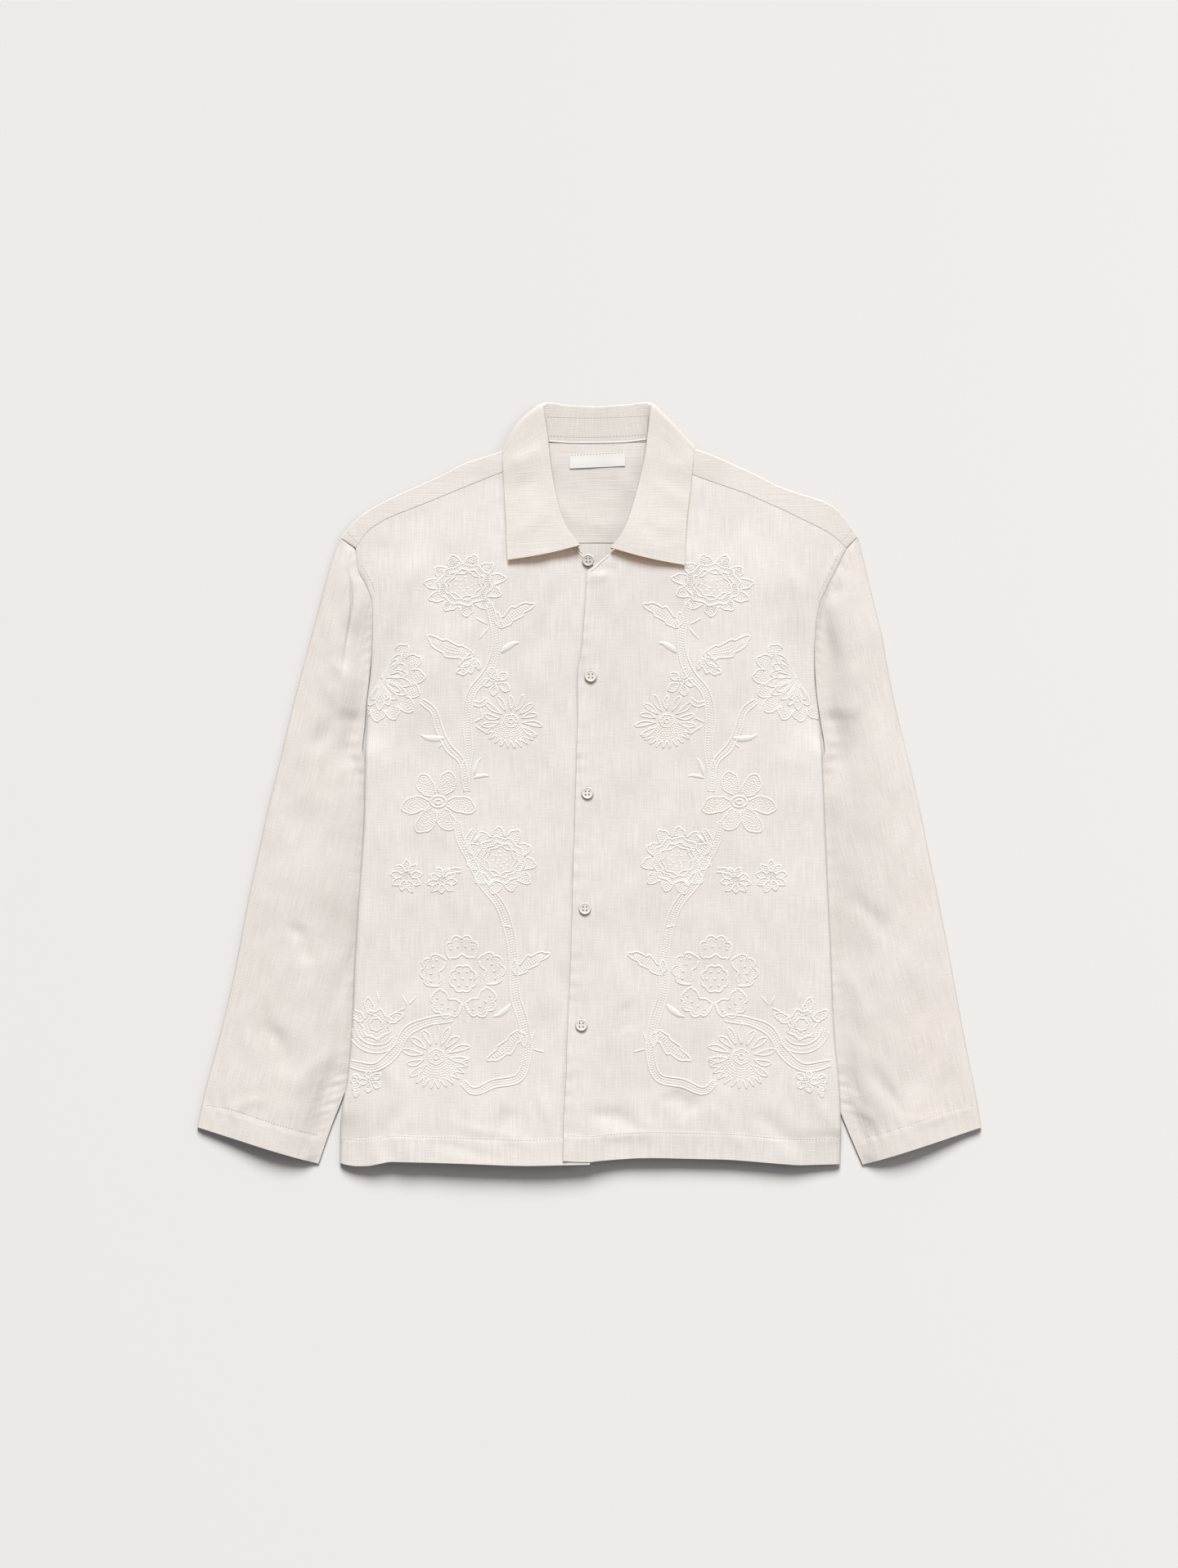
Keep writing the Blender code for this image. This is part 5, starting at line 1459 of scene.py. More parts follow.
def filled(outline, rows):
    """A corded outline with rows of chain stitch inside."""
    strokes = cord(outline)
    for share in rows:
        strokes += chain_row(inset(outline, share))
    return strokes


def placed(strokes, x, y, degrees=0.0, squash=1.0):
    return [(turned(points, degrees, x, y, squash), radii) for points, radii in strokes]


def petal_ring(count, base, length, wide, rows=(0.45,), start=0.0, sweep=360.0, **shape):
    """Petals round a centre, each a little different in length."""
    strokes = []
    for k in range(count):
        angle = start + sweep * k / count
        longer = 1.0 + 0.09 * math.sin(k * 2.3 + start)
        one = petal(length * longer, wide, **shape)
        part = filled(one, rows) if rows else cord(one)
        strokes += placed([(p + (base, 0.0), r) for p, r in part], 0.0, 0.0, angle)
    return strokes


def outside(strokes, radius):
    """The parts of strokes beyond a radius, for petals that start behind a ring."""
    kept = []
    for points, radii in strokes:
        far = np.hypot(points[:, 0], points[:, 1]) > radius
        start = None
        for k in range(len(points) + 1):
            if k < len(points) and far[k]:
                start = k if start is None else start
            elif start is not None:
                if k - start > 2:
                    kept.append((points[start:k], radii[start:k]))
                start = None
    return kept


def jagged(radius, teeth, depth, sweep=(0.0, 360.0)):
    """A ring, or a part of one, of pointed teeth that lean to one side."""
    a = np.radians(np.linspace(sweep[0], sweep[1], 9 * teeth + 1))
    cycle = np.linspace(0.0, teeth, 9 * teeth + 1) % 1.0
    upright = 1.0 - TOOTH_LEAN
    tooth = np.where(cycle < upright, cycle / upright, (1.0 - cycle) / TOOTH_LEAN)
    r = radius * (1.0 + depth * (tooth ** 1.3 - 0.5))
    return np.stack([r * np.cos(a), r * np.sin(a)], axis=1)


def layered_rosette(size):
    """Toothed petals behind two ragged rings, with loose curls in the heart."""
    petals = petal_ring(11, 0.44 * size, 0.57 * size, 0.36 * size, rows=FULL_ROWS, start=8.0,
                        teeth=2, depth=2.8, fullest=0.42)
    strokes = outside(petals, 0.68 * size)
    for radius, depth in ((0.67, 0.14), (0.50, 0.16)):
        strokes += cord(jagged(radius * size, 10, depth))
    for radius in (0.62, 0.56):
        strokes += chain_row(jagged(radius * size, 10, 0.14))
    strokes += cord(jagged(0.40 * size, 8, 0.2), THIN_R)
    for k in range(16):
        angle = k * 137.5
        reach = size * 0.30 * math.sqrt((k + 0.6) / 16.0)
        curl = np.array([(0.0, 0.0), (0.9, 0.9), (2.4, 1.1), (3.4, 0.2)]) * (size / 34.0)
        strokes += placed(cord(curl, THIN_R), *turned([(reach, 0.0)], angle)[0], angle + 70.0)
    return strokes


def aster(size):
    """Looped petals over the upper side, a filled and toothed skirt below, an oval eye."""
    strokes = []
    for k in range(10):
        angle = -22.0 + 25.0 * k
        one = petal(size * (0.60 + 0.08 * math.sin(2.1 * k)), 0.17 * size, 0.6,
                    bend=0.05 * size * math.sin(k))
        strokes += placed([(p + (0.38 * size, 0.0), r) for p, r in cord(one, THIN_R)], 0.0, 0.0, angle)
        if k % 2:
            strokes += placed(chain_row([(0.46 * size, 0.0), (0.84 * size, 0.0)]), 0.0, 0.0, angle)
    strokes += cord(jagged(0.86 * size, 10, 0.34, (212.0, 346.0)), THIN_R)
    for radius in (0.30, 0.38, 0.46, 0.54, 0.62, 0.70):
        strokes += chain_row(jagged(radius * size, 7, 0.06, (206.0, 350.0)))
    strokes += cord(scalloped(0.24 * size, 6, 0.14, 0.5), THIN_R)
    strokes += chain_row(scalloped(0.17 * size, 5, 0.1))
    return strokes + cord(scalloped(0.09 * size, 4, 0.1), THIN_R)


def star_flower(size):
    """Six broad pointed petals with rows of stitches, round a double ring."""
    strokes = []
    turns = ((-12, 1.0), (70, 0.86), (122, 0.86), (192, 0.98), (236, 1.0), (296, 0.82))
    for k, (angle, length) in enumerate(turns):
        one = petal(0.84 * size * length, 0.44 * size, 0.56, teeth=2, depth=2.0,
                    bend=0.05 * size * (-1) ** k, point=0.7)
        part = filled(one, (0.24, 0.48, 0.74))
        strokes += placed([(p + (0.17 * size, 0.0), r) for p, r in part], 0.0, 0.0, angle)
    strokes = outside(strokes, 0.22 * size)
    for radius in (0.21, 0.09):
        strokes += placed(cord(scalloped(radius * size, 8, 0.05)), 0.0, 0.0, 0.0, 0.75)
    return strokes


def dotted_flower(size):
    """Five lobed petals with knots between two lines, round a lobed heart with knots."""
    strokes = cord(scalloped(0.33 * size, 8, 0.16))
    for k in range(7):
        x, y = turned([(0.0 if k == 0 else 0.19 * size, 0.0)], 60.0 * k)[0]
        strokes += knot(x, y)
    for k in range(5):
        angle = 72.0 * k + 20.0
        lobes = []
        for a in np.linspace(-1.0, 1.0, 41):
            reach = 0.94 + 0.10 * abs(math.sin(2.0 * math.pi * a)) ** 0.7 - 0.36 * abs(a) ** 3.0
            lobes.append((reach * size * math.cos(0.58 * a), reach * size * math.sin(0.58 * a)))
        inner = [(0.60 * size * math.cos(0.5 * a) * (1.0 - 0.14 * abs(math.sin(3.1 * a))),
                  0.60 * size * math.sin(0.5 * a)) for a in np.linspace(-1.0, 1.0, 21)]
        outline = np.array([inner[0]] + lobes + [inner[-1]])
        strokes += placed(cord(outline) + cord(inner) + chain_row(0.90 * outline + (0.02 * size, 0.0)),
                          0.0, 0.0, angle)
        for a in (-0.62, -0.2, 0.22, 0.64):
            strokes += placed(knot(0.77 * size * math.cos(0.55 * a), 0.77 * size * math.sin(0.55 * a)),
                              0.0, 0.0, angle)
    return strokes


def fan_flower(size):
    """A half-open bloom: long folded petals from one point in front of a row of toothed ones."""
    behind = petal_ring(8, 0.50 * size, 0.50 * size, 0.34 * size, rows=FULL_ROWS, start=-118.0,
                        sweep=192.0, teeth=2, depth=2.8, fullest=0.45)
    strokes = outside(behind, 0.70 * size)
    for k in range(9):
        angle = -112.0 + 20.0 * k
        one = petal(size * (0.66 + 0.06 * math.sin(1.7 * k)), 0.19 * size, 0.68,
                    bend=0.04 * size * math.cos(k))
        inner = chain_row(inset(one, 0.5)) if k % 2 else cord(inset(one, 0.42), THIN_R)
        strokes += placed(cord(one, THIN_R) + inner, 0.0, 0.0, angle)
    return strokes


def cup_flower(size):
    """A cupped bloom: nested crescents below, a ragged mouth and three pointed sepals."""
    strokes = []
    for k in range(5):
        a = np.linspace(math.radians(195.0 - 4 * k), math.radians(345.0 + 4 * k), 16)
        reach = size * (1.0 - 0.14 * k)
        bowl = np.stack([reach * np.cos(a) * 0.92, reach * np.sin(a) * (0.80 - 0.04 * k)], axis=1)
        strokes += cord(bowl, THIN_R) if k % 2 == 0 else chain_row(bowl)
    mouth = jagged(0.50 * size, 7, 0.3) + (0.0, 0.20 * size)
    strokes += filled(mouth, (0.3,)) + cord(inset(mouth, 0.55), THIN_R)
    for angle in (38.0, 118.0, 160.0):
        one = petal(0.62 * size, 0.30 * size, 0.45, teeth=2, depth=1.8)
        part = [(p + (0.46 * size, 0.0), r) for p, r in filled(one, (0.5,))]
        strokes += placed(part, 0.0, 0.1 * size, angle)
    return strokes


def small_blossom(size):
    """Five filled petals round a scalloped eye."""
    strokes = petal_ring(5, 0.20 * size, 0.84 * size, 0.52 * size, start=30.0, fullest=0.55, teeth=1,
                         depth=1.0)
    return strokes + cord(scalloped(0.16 * size, 5, 0.1), THIN_R)


def sprig(size):
    """A tuft of short pointed petals with knots between them."""
    strokes = petal_ring(9, 0.26 * size, 0.76 * size, 0.36 * size, rows=(0.6,), start=10.0, teeth=1,
                         depth=1.4)
    for k in range(5):
        x, y = turned([(0.14 * size if k else 0.0, 0.0)], 72.0 * k)[0]
        strokes += knot(x, y, 0.8)
    return strokes


def leaf(size):
    """A toothed leaf with one side lobe and rows of stitches along its middle."""
    one = petal(size, 0.27 * size, 0.45, teeth=3, depth=3.4, bend=0.07 * size, point=0.75)
    strokes = cord(one)
    for off in (-0.06, 0.0, 0.06):
        strokes += chain_row([(0.10 * size, off * size * 0.5), (0.5 * size, (0.07 + off) * size),
                              (0.84 * size, (0.035 + off * 0.4) * size)])
    side = petal(0.34 * size, 0.15 * size, 0.4, bend=0.05 * size, point=0.7)
    return strokes + placed(cord(side), 0.06 * size, 0.0, 66.0)


def curve_through(points, step=CORD_STEP):
    """A smooth line through a few given points."""
    p = np.asarray(points, float)
    run = run_along(p)
    at = np.linspace(0.0, run[-1], max(3, int(run[-1] / step)))
    i = np.clip(np.searchsorted(run, at, side="right") - 1, 0, len(p) - 2)
    h = (run[i + 1] - run[i])[:, None]
    s = ((at - run[i]) / (run[i + 1] - run[i]))[:, None]
    tangent = np.gradient(p, run, axis=0)
    return cubic(p[i], p[i + 1], tangent[i] * h, tangent[i + 1] * h, s)


def branch(points, wide):
    """Two corded outlines with rows of chain stitch between them, narrower at both ends."""
    line = curve_through(points)
    along_it = np.gradient(line, axis=0)
    along_it /= np.linalg.norm(along_it, axis=1, keepdims=True)
    across = np.stack([-along_it[:, 1], along_it[:, 0]], axis=1)
    t = np.linspace(0.0, 1.0, len(line))[:, None]
    half = 0.5 * wide * (0.55 + 0.45 * np.sin(math.pi * t) ** 0.4) * (1.0 + 0.08 * np.sin(23.0 * t))
    strokes = cord(line + across * half) + cord(line - across * half)
    rows = max(1, int(round((wide - 2.0 * CORD_R) / ROW_APART)) - 1)
    for k in range(rows):
        share = (k + 1.0) / (rows + 1.0) * 2.0 - 1.0
        strokes += chain_row(line + across * half * share)
    return strokes


# Branches: width, then the points that each runs through. Flowers, leaves, buds and thorns: kind,
# x, y, size, turn, squash. All are for the wearer's right front, and the left front mirrors them.
BRANCHES = (
    (8.2, ((-98.0, 178.0), (-93.0, 160.0), (-90.5, 134.0), (-98.0, 110.0), (-114.0, 90.0),
           (-119.0, 62.0), (-117.0, 34.0), (-120.5, 8.0), (-119.0, -8.0))),
    (6.6, ((-164.0, 82.0), (-152.0, 72.0), (-146.0, 54.0), (-137.0, 36.0), (-124.0, 22.0),
           (-120.0, 4.0))),
    (8.6, ((-129.0, -36.0), (-126.0, -52.0), (-116.0, -72.0), (-103.0, -98.0), (-88.0, -116.0),
           (-77.0, -146.0), (-73.0, -180.0), (-72.0, -206.0), (-64.0, -232.0), (-60.0, -262.0),
           (-68.0, -286.0), (-92.0, -292.0), (-114.0, -299.0), (-124.0, -290.0))),
    (5.4, ((-112.0, -44.0), (-119.0, -58.0), (-118.0, -70.0))),
    (8.6, ((-132.0, -228.0), (-158.0, -232.0), (-176.0, -240.0), (-190.0, -262.0), (-208.0, -276.0),
           (-238.0, -272.0))),
    (4.4, ((-141.0, -88.0), (-132.0, -84.0), (-124.0, -84.0))),
    (4.2, ((-98.0, 84.0), (-106.0, 78.0), (-114.0, 80.0))),
)
FLOWERS = (
    (layered_rosette, -121.0, 195.0, 39.0, 4.0, 0.76),
    (fan_flower, -204.0, 104.0, 44.0, 0.0, 1.0),
    (small_blossom, -90.5, 100.0, 14.0, 10.0, 1.0),
    (aster, -76.0, 62.0, 30.0, -12.0, 0.9),
    (star_flower, -147.0, -17.0, 37.0, 0.0, 0.95),
    (layered_rosette, -86.0, -74.0, 35.0, 150.0, 0.93),
    (sprig, -178.0, -90.0, 15.5, 0.0, 1.0),
    (sprig, -143.0, -94.0, 15.0, 20.0, 0.85),
    (dotted_flower, -123.0, -190.0, 41.0, 0.0, 1.0),
    (aster, -149.0, -266.0, 33.0, 14.0, 0.96),
    (cup_flower, -209.0, -240.0, 28.0, -12.0, 1.0),
    (leaf, -88.0, 153.0, 42.0, 34.0, 1.0),
    (leaf, -112.0, 126.0, 50.0, 158.0, 1.0),
    (leaf, -109.0, 122.0, 24.0, 214.0, 1.3),
    (leaf, -72.0, -186.0, 40.0, 32.0, 1.0),
    (leaf, -66.0, -240.0, 45.0, 222.0, 1.0),
    (small_blossom, -213.0, -290.0, 11.0, 80.0, 1.0),
    (leaf, -231.0, -284.0, 22.0, -80.0, 1.0),
)
# x, y, length, turn, width of each satin bud; x, y, length, turn of each straight thorn
BUDS = (
    (-86.0, 128.0, 22.0, 28.0, 6.0),
    (-140.0, 46.0, 26.0, 172.0, 6.2),
    (-113.0, 6.0, 17.0, 4.0, 4.0),
    (-112.0, 8.0, 21.0, 66.0, 3.6),
    (-76.0, -214.0, 23.0, 214.0, 6.0),
    (-98.0, -102.0, 13.0, 50.0, 4.8),
    (-112.0, -58.0, 13.0, 48.0, 4.0),
)
THORNS = (
    (-98.0, 156.0, 15.0, 150.0), (-97.0, 154.0, 17.0, 228.0), (-113.0, 60.0, 14.0, 28.0),
    (-112.0, 58.0, 14.0, -36.0), (-106.0, 76.0, 15.0, -82.0), (-74.0, -140.0, 13.0, 165.0),
    (-58.0, -256.0, 17.0, 68.0), (-56.0, -258.0, 14.0, -18.0), (-176.0, -216.0, 13.0, 48.0),
    (-177.0, -217.0, 12.0, 110.0), (-178.0, -218.0, 11.0, 200.0), (-205.0, -214.0, 12.0, 95.0),
    (-141.0, 42.0, 9.0, 222.0),
)


def embroidery_strokes():
    """All strokes of the wearer's right front: points of each, and half its width at them."""
    strokes = []
    for wide, points in BRANCHES:
        strokes += branch(points, wide)
    for kind, x, y, size, degrees, squash in FLOWERS:
        strokes += placed(kind(size), x, y, degrees, squash)
    for x, y, length, degrees, wide in BUDS:
        bow = np.array([(0.0, 0.0), (0.3, 0.1), (0.7, 0.12), (1.0, 0.02)]) * length
        strokes += placed(satin(bow, wide), x, y, degrees)
    for x, y, length, degrees in THORNS:
        line = resampled([(0.0, 0.0), (length, 0.6)], 2.0)
        radii = 0.3 + 0.75 * np.sin(math.pi * np.linspace(0.08, 0.92, len(line)))
        strokes += placed([(line, radii)], x, y, degrees)
    return strokes


def thread_mesh(name, strokes, surface):
    """Threads along strokes, laid on a surface seen from above. Parts off it are left out."""
    verts, faces, run_at = [], [], []
    for points, radii in strokes:
        heights = [height_on(surface, p[0], p[1]) for p in points]
        piece = []
        for k in range(len(points) + 1):
            if k < len(points) and heights[k] is not None:
                piece.append(k)
                continue
            if len(piece) >= 3:
                on_it = [heights[i] for i in piece]
                add_thread(verts, faces, run_at, points[piece], on_it, radii[piece])
            piece = []
    mesh = bpy.data.meshes.new(name)
    mesh.from_pydata((np.array(verts) * METRES).tolist(), [], faces)
    run = mesh.attributes.new("thread_run", "FLOAT", "POINT")
    run.data.foreach_set("value", np.array(run_at) * METRES)
    return mesh


def add_thread(verts, faces, run_at, points, heights, radii, sides=THREAD_SIDES):
    """Adds one thread to the lists: a tube along the points, pointed at its ends or closed."""
    count = len(points)
    centre = np.column_stack([points, heights])
    closed = count > 5 and np.linalg.norm(centre[0] - centre[-1]) < 0.5 * CORD_STEP
    if closed:
        centre, radii, count = centre[:-1], radii[:-1], count - 1
        ahead = np.roll(centre, -1, axis=0) - np.roll(centre, 1, axis=0)
    else:
        ahead = np.gradient(centre, axis=0)
    ahead /= np.linalg.norm(ahead, axis=1, keepdims=True) + TINY
    across = np.stack([-ahead[:, 1], ahead[:, 0], np.zeros(count)], axis=1)
    across /= np.linalg.norm(across, axis=1, keepdims=True) + TINY
    flat = STITCH_FLAT if count == STITCH_POINTS else 1.0
    tall = np.minimum(THREAD_ROUND * radii, THREAD_TALL + THREAD_TALLER * radii) * flat
    up = np.cross(ahead, across)
    raised = centre + np.outer(THREAD_RAISED * tall, (0.0, 0.0, 1.0))
    run = run_along(centre)
    # A short stitch shows no ribs: all of it has the tone of a rib's middle.
    if count == STITCH_POINTS:
        run[:] = 0.25 * THREAD_PITCH
    start = len(verts)
    rings = range(count) if closed else range(1, count - 1)
    for k in rings:
        for side in range(sides):
            a = 2.0 * math.pi * side / sides
            verts.append(raised[k] + across[k] * radii[k] * math.cos(a) + up[k] * tall[k] * math.sin(a))
            run_at.append(run[k] + TWIST * side / sides)
    ring_count = len(rings)
    for k in range(ring_count if closed else ring_count - 1):
        ring, following = start + k * sides, start + (k + 1) % ring_count * sides
        for side in range(sides):
            beside = (side + 1) % sides
            faces.append((ring + side, ring + beside, following + beside, following + side))
    if not closed:
        for pole, ring, order in ((0, 0, -1), (count - 1, ring_count - 1, 1)):
            verts.append(centre[pole] + (0.0, 0.0, END_RAISED))
            run_at.append(run[pole])
            tip = len(verts) - 1
            first = start + ring * sides
            for side in range(sides):
                faces.append((tip, first + side, first + (side + 1) % sides)[::order])


def cotton_thread(name, colour, shade, pitch, let_through=0.0):
    """Cotton: a soft, slightly shiny thread whose twist or stitches show as slanted ribs. Between the
    ribs its tone runs down to
    the shade colour: painted shade in the grooves. pitch is the ribs' spacing along the thread."""
    material, tree, shader = new_material(name, {"Roughness": 0.6, "Sheen Weight": 0.1})
    run = add_node(tree, "ShaderNodeAttribute", {"attribute_name": "thread_run"})
    turns = add_node(tree, "ShaderNodeMath",
                     {"operation": "MULTIPLY", 1: 2.0 * math.pi / (pitch * METRES)},
                     {0: run.outputs["Fac"]})
    ribs = add_node(tree, "ShaderNodeMath", {"operation": "SINE"}, {0: turns.outputs["Value"]})
    share = add_node(tree, "ShaderNodeMapRange", {"From Min": -1.0, "From Max": 0.4},
                     {"Value": ribs.outputs["Value"]})
    mixed = add_node(tree, "ShaderNodeMix", {"data_type": "RGBA", 6: linear(shade), 7: linear(colour)},
                     {"Factor": share.outputs["Result"]})
    tree.links.new(mixed.outputs[2], shader.inputs["Base Color"])
    bump = add_node(tree, "ShaderNodeBump", {"Strength": 0.5, "Distance": 0.2 * METRES},
                    {"Height": ribs.outputs["Value"]})
    tree.links.new(bump.outputs["Normal"], shader.inputs["Normal"])
    if let_through:
        lighten_shadow(tree, shader, let_through)
    return material


# Light gets between the threads, so the shadows inside the flowers stay pale.
COTTON_LETS_THROUGH = 0.72
ivory_cotton = cotton_thread("ivory embroidery cotton", "F6F2EB", "F0EBE4", THREAD_PITCH,
                             COTTON_LETS_THROUGH)
right_strokes = embroidery_strokes()
left_strokes = [(points * (-1.0, 1.0), radii) for points, radii in right_strokes]
for name, strokes in (("right_front", right_strokes), ("left_front", left_strokes)):
    mesh = thread_mesh(name + "_embroidery", strokes, surface_of(fronts[name]))
    stitched = finished(name + "_embroidery", mesh, ivory_cotton, THREAD_EDGE)
    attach(stitched, "root")

# Seams and hems are sewn with linen-coloured thread, a stitch every 3 mm. It is finer than the picture
# shows, so it is drawn 0.8 mm wide,
# and darker than the linen: painted shade of the stitch holes. Neck edges are turned in and rolled to
# thin lips, and two satin rows bind each buttonhole.
STITCH_LENGTH = 2.1
STITCH_GAP = 0.9
STITCH_R = 0.42
STITCH_SHARES = (0.0, 0.3, 0.7, 1.0)
LIP_R = 0.85
# Spacing of the ribs that show on the sewing thread and on the rolled lips.
SEWING_PITCH = 1.0
LIP_PITCH = 2.2
# The hems' stitches run between these x, through this many points.
RIGHT_HEM_SPAN = (-240.0, -28.0)
LEFT_HEM_SPAN = (-21.0, 242.0)
HEM_POINTS = 14
# x, y of the collar stand's, cuffs' and armholes' stitches, and of the rolled edges at the neck
STAND_LINES = (
    ((-40.6, 360.0), (-20.0, 359.2), (20.0, 359.2), (58.6, 361.0)),
    ((-37.6, 341.4), (-20.0, 340.6), (20.0, 340.6), (56.6, 342.6)),
)
CUFF_LINES = (
    ((-374.3, -313.8), (-355.1, -316.4), (-323.2, -326.0), (-291.4, -336.2), (-264.6, -343.6)),
    ((375.6, -313.8), (356.0, -318.0), (324.0, -328.4), (292.0, -339.2), (266.6, -346.8)),
)
ARMHOLE_LINES = (
    ((-236.6, 247.4), (-229.0, 239.6), (-221.6, 232.0)),
    ((-222.2, 214.8), (-215.6, 202.9), (-211.9, 196.2), (-209.0, 187.0)),
    ((256.8, 249.0), (249.6, 240.4), (244.0, 232.6)),
    ((243.2, 224.0), (236.0, 208.0), (228.0, 192.0), (223.4, 180.0)),
)
NECK_LIPS = (
    ((-40.6, 336.4), (-22.0, 335.0), (9.0, 334.8), (36.0, 335.6), (57.4, 338.0)),
    ((-13.2, 233.4), (-8.4, 228.2), (-2.6, 221.4), (2.0, 216.0)),
    ((-15.0, 232.0), (-10.0, 226.6), (-5.6, 221.4)),
    ((24.0, 230.8), (17.8, 225.4), (10.6, 219.4), (4.4, 213.8)),
    ((20.0, 224.2), (13.0, 218.0), (6.0, 211.6), (2.2, 208.0)),
)
LABEL_LINE = ((-17.8, 322.4), (8.3, 323.6), (34.4, 324.8))
# x, y of each button, and its tilt about x and y in degrees
BUTTONS = (
    (-0.4, 219.1, 11.0, -8.5),
    (1.8, 105.8, 0.0, 0.0),
    (-1.4, -8.4, 0.0, 0.0),
    (-3.8, -121.2, 0.0, 0.0),
    (-7.2, -234.8, 0.0, 0.0),
)
HOLE_LONG = 15.0
HOLE_APART = 1.1
HOLE_ROW_R = 0.5


def stitch_row(points):
    """A row of straight stitches."""
    line = resampled(curve_through(points, 1.0), STITCH_LENGTH + STITCH_GAP)
    strokes = []
    for a, b in zip(line[:-1], line[1:]):
        along_it = (b - a) / (np.linalg.norm(b - a) + TINY)
        ends = [a + along_it * share * STITCH_LENGTH for share in STITCH_SHARES]
        strokes.append((np.array(ends), np.full(STITCH_POINTS, STITCH_R)))
    return strokes


hem_lines = []
for hem, span in ((RIGHT_HEM, RIGHT_HEM_SPAN), (LEFT_HEM, LEFT_HEM_SPAN)):
    hem_lines.append([(x, height_by_x(hem, x) + HEM_DEEP) for x in np.linspace(*span, HEM_POINTS)])
sewn_rows = []
for points in STAND_LINES + CUFF_LINES + ARMHOLE_LINES + tuple(hem_lines) + (LABEL_LINE,):
    sewn_rows += stitch_row(points)
lips = []
for points in NECK_LIPS:
    lips += cord(curve_through(points), LIP_R)
for x, y, _, _ in BUTTONS:
    for offset in (-0.5 * HOLE_APART, 0.5 * HOLE_APART):
        ends = [(x + offset, y - 0.5 * HOLE_LONG), (x + offset, y + 0.5 * HOLE_LONG)]
        sewn_rows += cord(ends, HOLE_ROW_R)
everything = surface_of(yoke, *fronts.values(), *sleeves, collar, label)
# Darker than the linen: painted shade along the stitched lines.
stitch_thread_painted_shade = cotton_thread("sewing thread, darkened as painted shade", "D6CCC1", "B9ADA0", SEWING_PITCH)
rolled_edge = cotton_thread("rolled linen edge", "F4EEE8", "EBE3DB", LIP_PITCH)
for name, strokes, material in (
    ("seam_stitches", sewn_rows, stitch_thread_painted_shade),
    ("neck_lips", lips, rolled_edge),
):
    sewn = finished(name, thread_mesh(name, strokes, everything), material, THREAD_EDGE)
    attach(sewn, "root")

# The buttons are turned four-hole buttons of pale nut, 12 mm across with a raised rim. Thread through
# the holes holds each.
# Down in each hole sits a dark brown dot: painted shade, standing for the thread in the hole's shadow.
# How far the holes sit from the middle, and the dark dots of painted shade in them: radius, height
# above the button's underside, sides and depth.
HOLE_AT = 1.7
HOLE_SHADE_R = 0.72
HOLE_SHADE_DOWN = 1.4
DOT_SIDES = 12
DOT_DEEP = 0.4
# Clouds in the nut, 3.8 mm across, and the share of light that its edge passes on.
NUT_CLOUD = 1000.0 / 260.0
NUT_LETS_THROUGH = 0.3


def corozo(name, light, dark):
    """Nut turned on a lathe and tumbled: a smooth, silky face with faint clouds."""
    material, tree, shader = new_material(name, {"Roughness": 0.42})
    place = add_node(tree, "ShaderNodeTexCoord")
    clouds = add_node(tree, "ShaderNodeTexNoise", {"Scale": 1.0 / (NUT_CLOUD * METRES), "Detail": 2.0},
                      {"Vector": place.outputs["Object"]})
    mixed = add_node(tree, "ShaderNodeMix", {"data_type": "RGBA", 6: linear(dark), 7: linear(light)},
                     {"Factor": clouds.outputs["Fac"]})
    tree.links.new(mixed.outputs[2], shader.inputs["Base Color"])
    lighten_shadow(tree, shader, NUT_LETS_THROUGH)
    return material


def matt(name, colour):
    """A plain dull colour."""
    settings = {"Base Color": linear(colour), "Roughness": 0.95, "Specular IOR Level": 0.1}
    return new_material(name, settings)[0]


dots = []
button_nut = corozo("turned corozo nut", "F4EDE6", "E8DFD6")
bpy.ops.object.select_all(action="DESELECT")
for number, (_, _, tilt_x, tilt_y) in enumerate(BUTTONS, 1):
    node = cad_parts["button_%d" % number]
    tilt = Euler((math.radians(tilt_x), math.radians(tilt_y), 0.0)).to_matrix()
    upright = np.array([tilt.transposed() @ v.co for v in node.data.vertices])
    low, high = upright.min(axis=0), upright.max(axis=0)
    sunk = Vector((0.5 * (low[0] + high[0]), 0.5 * (low[1] + high[1]), low[2] + HOLE_SHADE_DOWN * METRES))
    node.data.materials.clear()
    node.data.materials.append(button_nut)
    # Each hole gets a dark dot of painted shade.
    for hx, hy in ((1, 1), (-1, 1), (-1, -1), (1, -1)):
        bpy.ops.mesh.primitive_cylinder_add(vertices=DOT_SIDES, radius=HOLE_SHADE_R * METRES,
                                            depth=DOT_DEEP * METRES)
        dot = bpy.context.active_object
        hole = sunk + Vector((hx, hy, 0.0)) * HOLE_AT * METRES
        dot.matrix_world = tilt.to_4x4() @ Matrix.Translation(hole)
        dots.append(dot)
bpy.ops.object.select_all(action="DESELECT")
for dot in dots:
    dot.select_set(True)
bpy.context.view_layer.objects.active = dots[0]
bpy.ops.object.join()
bpy.ops.object.transform_apply(location=True, rotation=True, scale=True)
hole_shade_dots = bpy.context.active_object
hole_shade_dots.name = "button_thread"
# Dark brown: painted shade down in the holes.
hole_shade_dots.data.materials.append(matt("dark dots of painted shade in the button holes", "3E322A"))
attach(hole_shade_dots, "root")

# The floor is a plain pale sheet of paper. One broad soft lamp stands beyond the collar, so that
# hems, cuffs and collar leaves throw short shadows toward the picture's lower edge. A weak one
# stands off to the right, so that the light falls off a little toward the lower left.
FLOOR_METRES = 6.0
FLOOR_DOWN_METRES = 0.0002
bpy.ops.object.select_all(action="DESELECT")
bpy.ops.mesh.primitive_plane_add(size=FLOOR_METRES, location=(0.0, 0.0, -FLOOR_DOWN_METRES))
floor = bpy.context.active_object
floor.name = "floor"
floor.data.materials.append(matt("matt paper", "EEEAE7"))
bpy.ops.object.transform_apply(location=True)

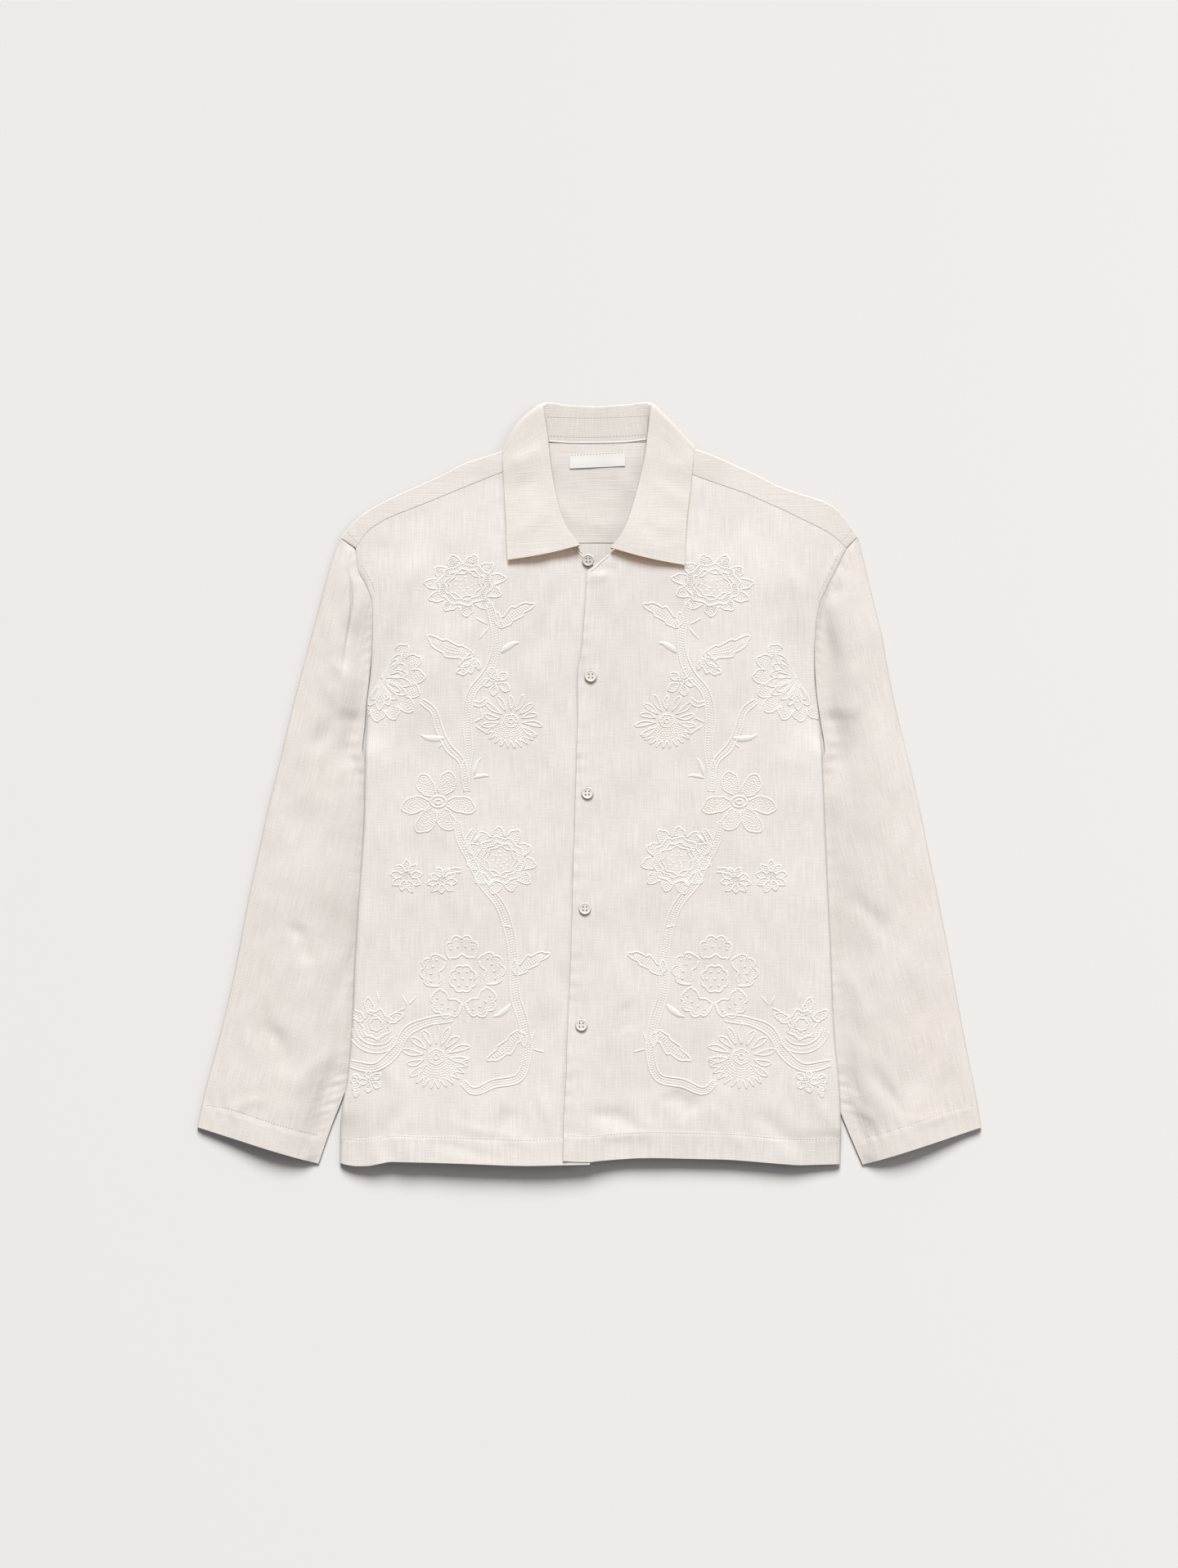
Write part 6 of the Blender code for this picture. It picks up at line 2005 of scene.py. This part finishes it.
# Degrees of the broad lamp over the horizon, and its width as seen from the shirt.
LAMP_ELEVATION = 38.0
LAMP_ANGLE = 28.0
LAMP_STRENGTH = 3.98
SKY_STRENGTH = 0.164
SIDE_LAMP_PLACE_METRES = (3.2, 1.0, 3.2)
SIDE_LAMP_METRES = 2.0
SIDE_LAMP_WATTS = 22.0
lamp_data = bpy.data.lights.new("soft lamp", "SUN")
lamp_data.energy = LAMP_STRENGTH
lamp_data.angle = math.radians(LAMP_ANGLE)
lamp_data.cycles.max_bounces = 0
lamp = bpy.data.objects.new("soft lamp", lamp_data)
bpy.context.collection.objects.link(lamp)
lamp.rotation_euler = (math.radians(LAMP_ELEVATION - 90.0), 0.0, 0.0)
side_data = bpy.data.lights.new("side lamp", "AREA")
side_data.energy = SIDE_LAMP_WATTS
side_data.size = SIDE_LAMP_METRES
side_lamp = bpy.data.objects.new("side lamp", side_data)
bpy.context.collection.objects.link(side_lamp)
side_lamp.location = SIDE_LAMP_PLACE_METRES
side_lamp.rotation_euler = Vector(SIDE_LAMP_PLACE_METRES).to_track_quat("Z", "Y").to_euler()
world = bpy.data.worlds.new("studio")
world.use_nodes = True
sky = world.node_tree.nodes["Background"]
sky.inputs["Color"].default_value = linear("FFFFFF")
sky.inputs["Strength"].default_value = SKY_STRENGTH
bpy.context.scene.world = world
bpy.context.scene.view_settings.view_transform = "Standard"

# The camera looks straight down. The picture's long side covers 1534 mm of the floor.
LENS = 85.0
SENSOR = 36.0
PICTURE_HEIGHT = 1533.6
CAMERA_ASIDE = (0.2, 0.4)
SHARPEST_HEIGHT = 8.0
camera_data = bpy.data.cameras.new("camera")
camera_data.lens = LENS
camera_data.sensor_width = SENSOR
camera = bpy.data.objects.new("camera", camera_data)
bpy.context.collection.objects.link(camera)
camera.location = (CAMERA_ASIDE[0] * METRES, CAMERA_ASIDE[1] * METRES,
                   (PICTURE_HEIGHT * LENS / SENSOR + SHARPEST_HEIGHT) * METRES)
bpy.context.scene.camera = camera
